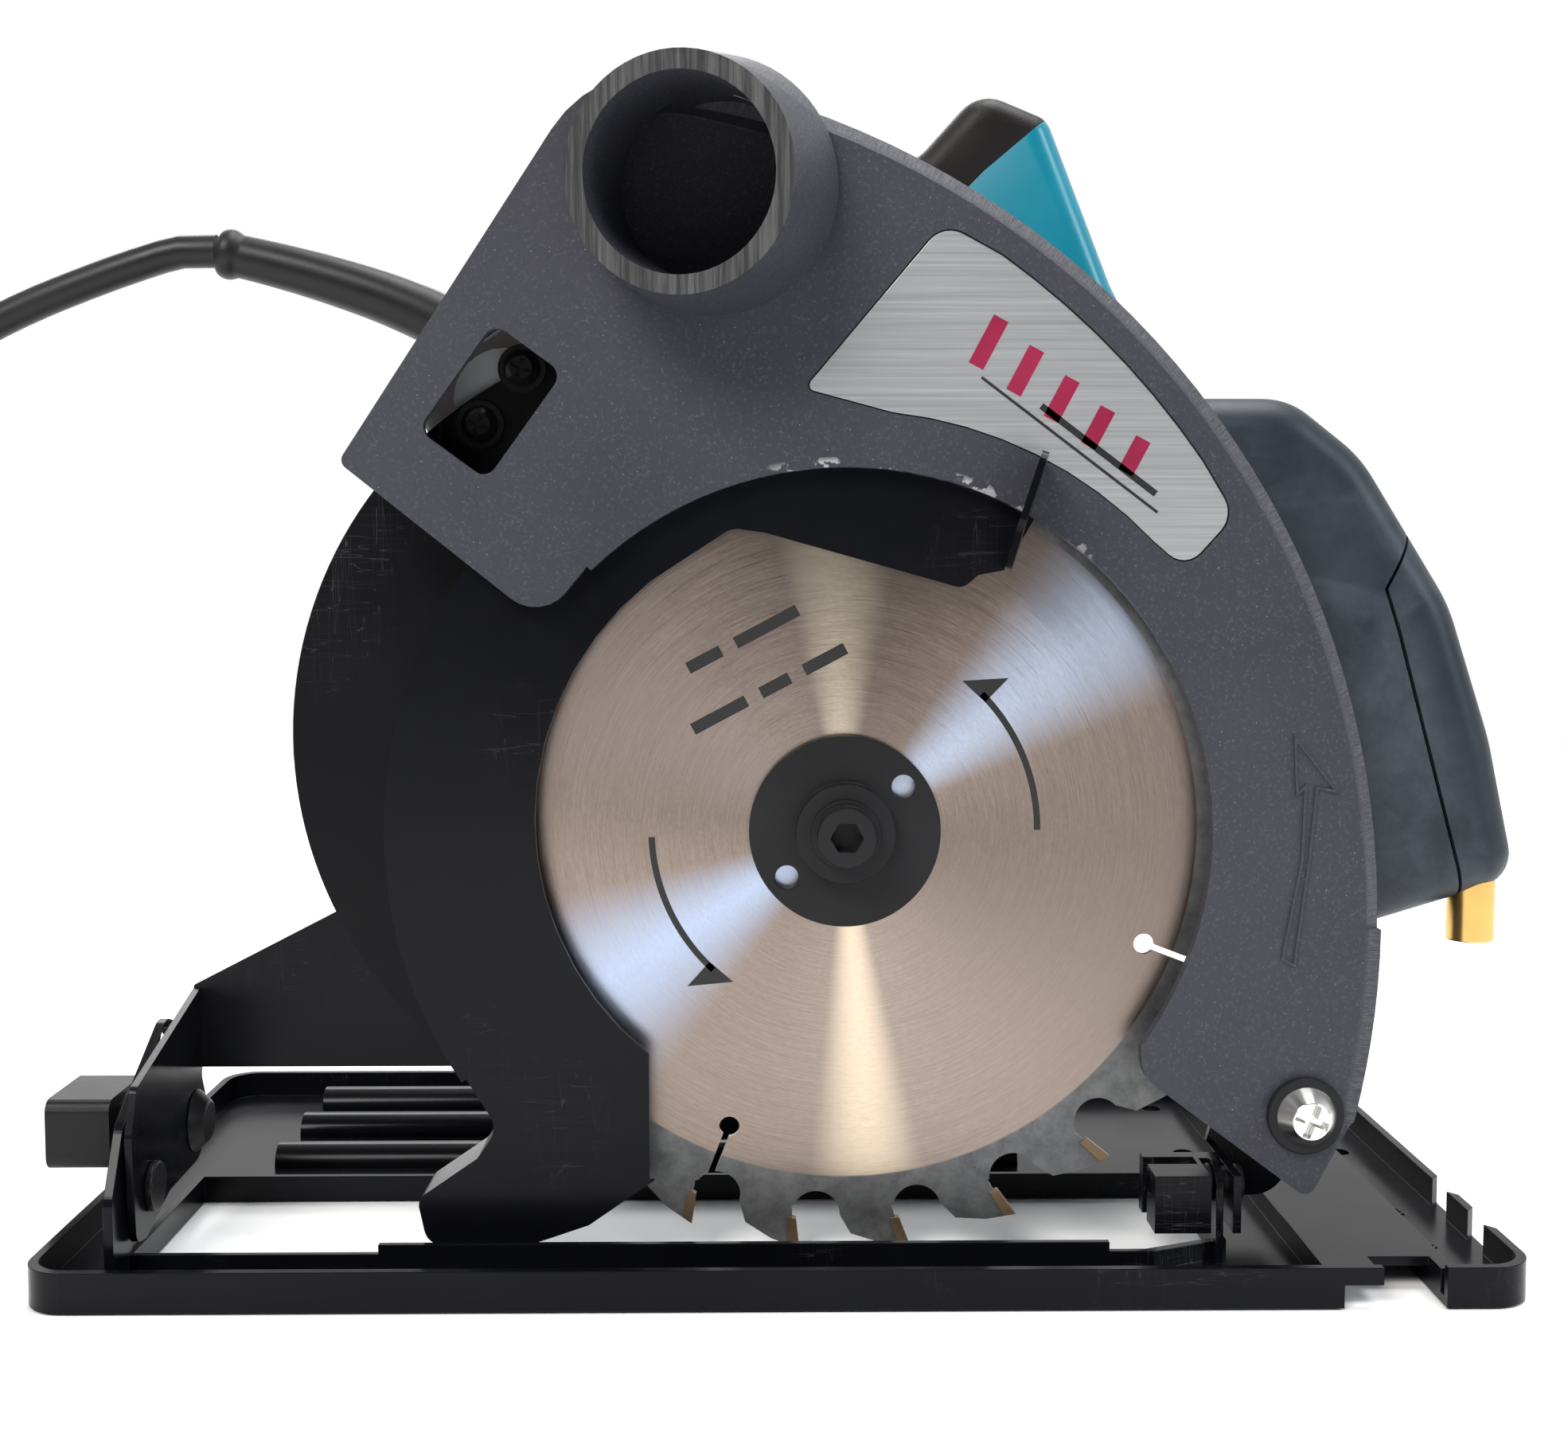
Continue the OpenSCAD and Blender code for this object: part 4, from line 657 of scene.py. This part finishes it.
def spline_points(points, step):
    """Evenly smooth points through the given ones (Catmull-Rom)."""
    out = []
    for i in range(len(points) - 1):
        p0, p1, p2, p3 = points[max(i - 1, 0)], points[i], points[i + 1], points[min(i + 2, len(points) - 1)]
        n = max(1, int((p2 - p1).length / step))
        for k in range(n):
            f = k / n
            out.append(0.5 * (2 * p1 + (p2 - p0) * f + (2 * p0 - 5 * p1 + 4 * p2 - p3) * f * f
                              + (3 * p1 - p0 - 3 * p2 + p3) * f ** 3))
    return out + [points[-1]]


line = spline_points(path, 5.0)
curve = bpy.data.curves.new("cord_line", "CURVE")
curve.dimensions = "3D"
s = curve.splines.new("POLY")
s.points.add(len(line) - 1)
for pt, p in zip(s.points, line):
    pt.co = (*(p * MM), 1)
curve.bevel_depth = CORD_D / 2 * MM
curve.bevel_resolution = 5
curve.use_fill_caps = True
tube = bpy.data.objects.new("cord_line", curve)
scene.collection.objects.link(tube)
cord_mesh = bpy.data.meshes.new_from_object(tube.evaluated_get(bpy.context.evaluated_depsgraph_get()))
bpy.data.objects.remove(tube)
cord = add("mains_cord", cord_mesh, "cord", "saw")
smooth(cord, 60)
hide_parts("cord", "cord_coil")


# ---- strain relief ----
def lathe_path(name, points, radii, sides, material):
    """Sweeps rings of the given radii along points, all in mm."""
    bm = bmesh.new()
    rings = []
    for i, p in enumerate(points):
        d = (points[min(i + 1, len(points) - 1)] - points[max(i - 1, 0)]).normalized()
        u = d.cross(Vector((0, 1, 0))).normalized()
        v = d.cross(u)
        rings.append([bm.verts.new((p + radii[i] * (u * math.cos(2 * math.pi * j / sides)
                                                     + v * math.sin(2 * math.pi * j / sides))) * MM) for j in range(sides)])
    for a, b in zip(rings, rings[1:]):
        for j in range(sides):
            k = (j + 1) % sides
            bm.faces.new((a[j], a[k], b[k], b[j]))
    bm.faces.new(rings[0])
    bm.faces.new(rings[-1])
    outward(bm)
    mesh = bpy.data.meshes.new(name)
    bm.to_mesh(mesh)
    bm.free()
    o = add(name, mesh, material, "saw")
    smooth(o, 50)
    return o


boot = [Vector(p) for p in ((-74, 20, 207), (-82.8, 20, 211.5), (-88, 20, 214), (-97, 20, 217.6), (-107, 20, 220.9),
                            (-117, 20, 223.8), (-127, 20, 226.3), (-136.4, 20, 228.3))]
fine = spline_points(boot, 0.8)
widths = []
for i, p in enumerate(fine):
    f = i / (len(fine) - 1)
    r = 7.1 - 2.0 * f
    end = (fine[-1] - p).length
    if end < 4.6:
        r += 0.95 * max(0.0, math.sin(math.pi * min(1, end / 4.6))) ** 0.6
    widths.append(r)
relief = lathe_path("cord_boot", fine, widths, 28, "cord")
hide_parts("strain_relief")


# ---- floor, world and lights ----
def stage_floor():
    mesh = bpy.data.meshes.new("floor")
    bm = bmesh.new()
    bmesh.ops.create_circle(bm, cap_ends=True, segments=96, radius=1.15)
    bm.to_mesh(mesh)
    bm.free()
    o = bpy.data.objects.new("floor", mesh)
    scene.collection.objects.link(o)
    m, t, p = shader("floor_white", (0.93, 0.93, 0.93), 0.8)
    p.inputs["Specular IOR Level"].default_value = 0.2
    o.data.materials.append(m)
    o.location = (0, 0, -0.0004)


stage_floor()
world = bpy.data.worlds.new("studio")
scene.world = world
world.use_nodes = True
wt = world.node_tree
direction = node(wt, "ShaderNodeSeparateXYZ", {0: node(wt, "ShaderNodeTexCoord").outputs["Generated"]})
grade = ramp(wt, direction.outputs["Y"], -0.3, 0.35, 0.15, 1.0)
wt.links.new(grade, wt.nodes["Background"].inputs["Strength"])
wt.nodes["Background"].inputs["Color"].default_value = (1, 1, 1, 1)


def area(name, at, to, size, power, colour=(1, 1, 1)):
    data = bpy.data.lights.new(name, "AREA")
    data.shape = "RECTANGLE"
    data.size, data.size_y = size
    data.energy = power
    data.color = colour
    o = bpy.data.objects.new(name, data)
    scene.collection.objects.link(o)
    o.location = at
    o.rotation_euler = (Vector(to) - Vector(at)).to_track_quat("-Z", "Y").to_euler()
    return o


area("key", (-0.75, -1.2, 1.25), (0, 0, 0.1), (0.9, 0.6), 30, (1.0, 0.98, 0.95))
area("top", (0.3, 0.1, 1.6), (0, 0, 0), (1.2, 0.8), 22)
area("side", (1.3, -0.7, 0.8), (0, 0, 0.12), (0.4, 0.9), 11, (0.86, 0.93, 1.0))
area("rear", (-0.4, 1.4, 1.1), (0, 0, 0.1), (1.0, 0.6), 12)
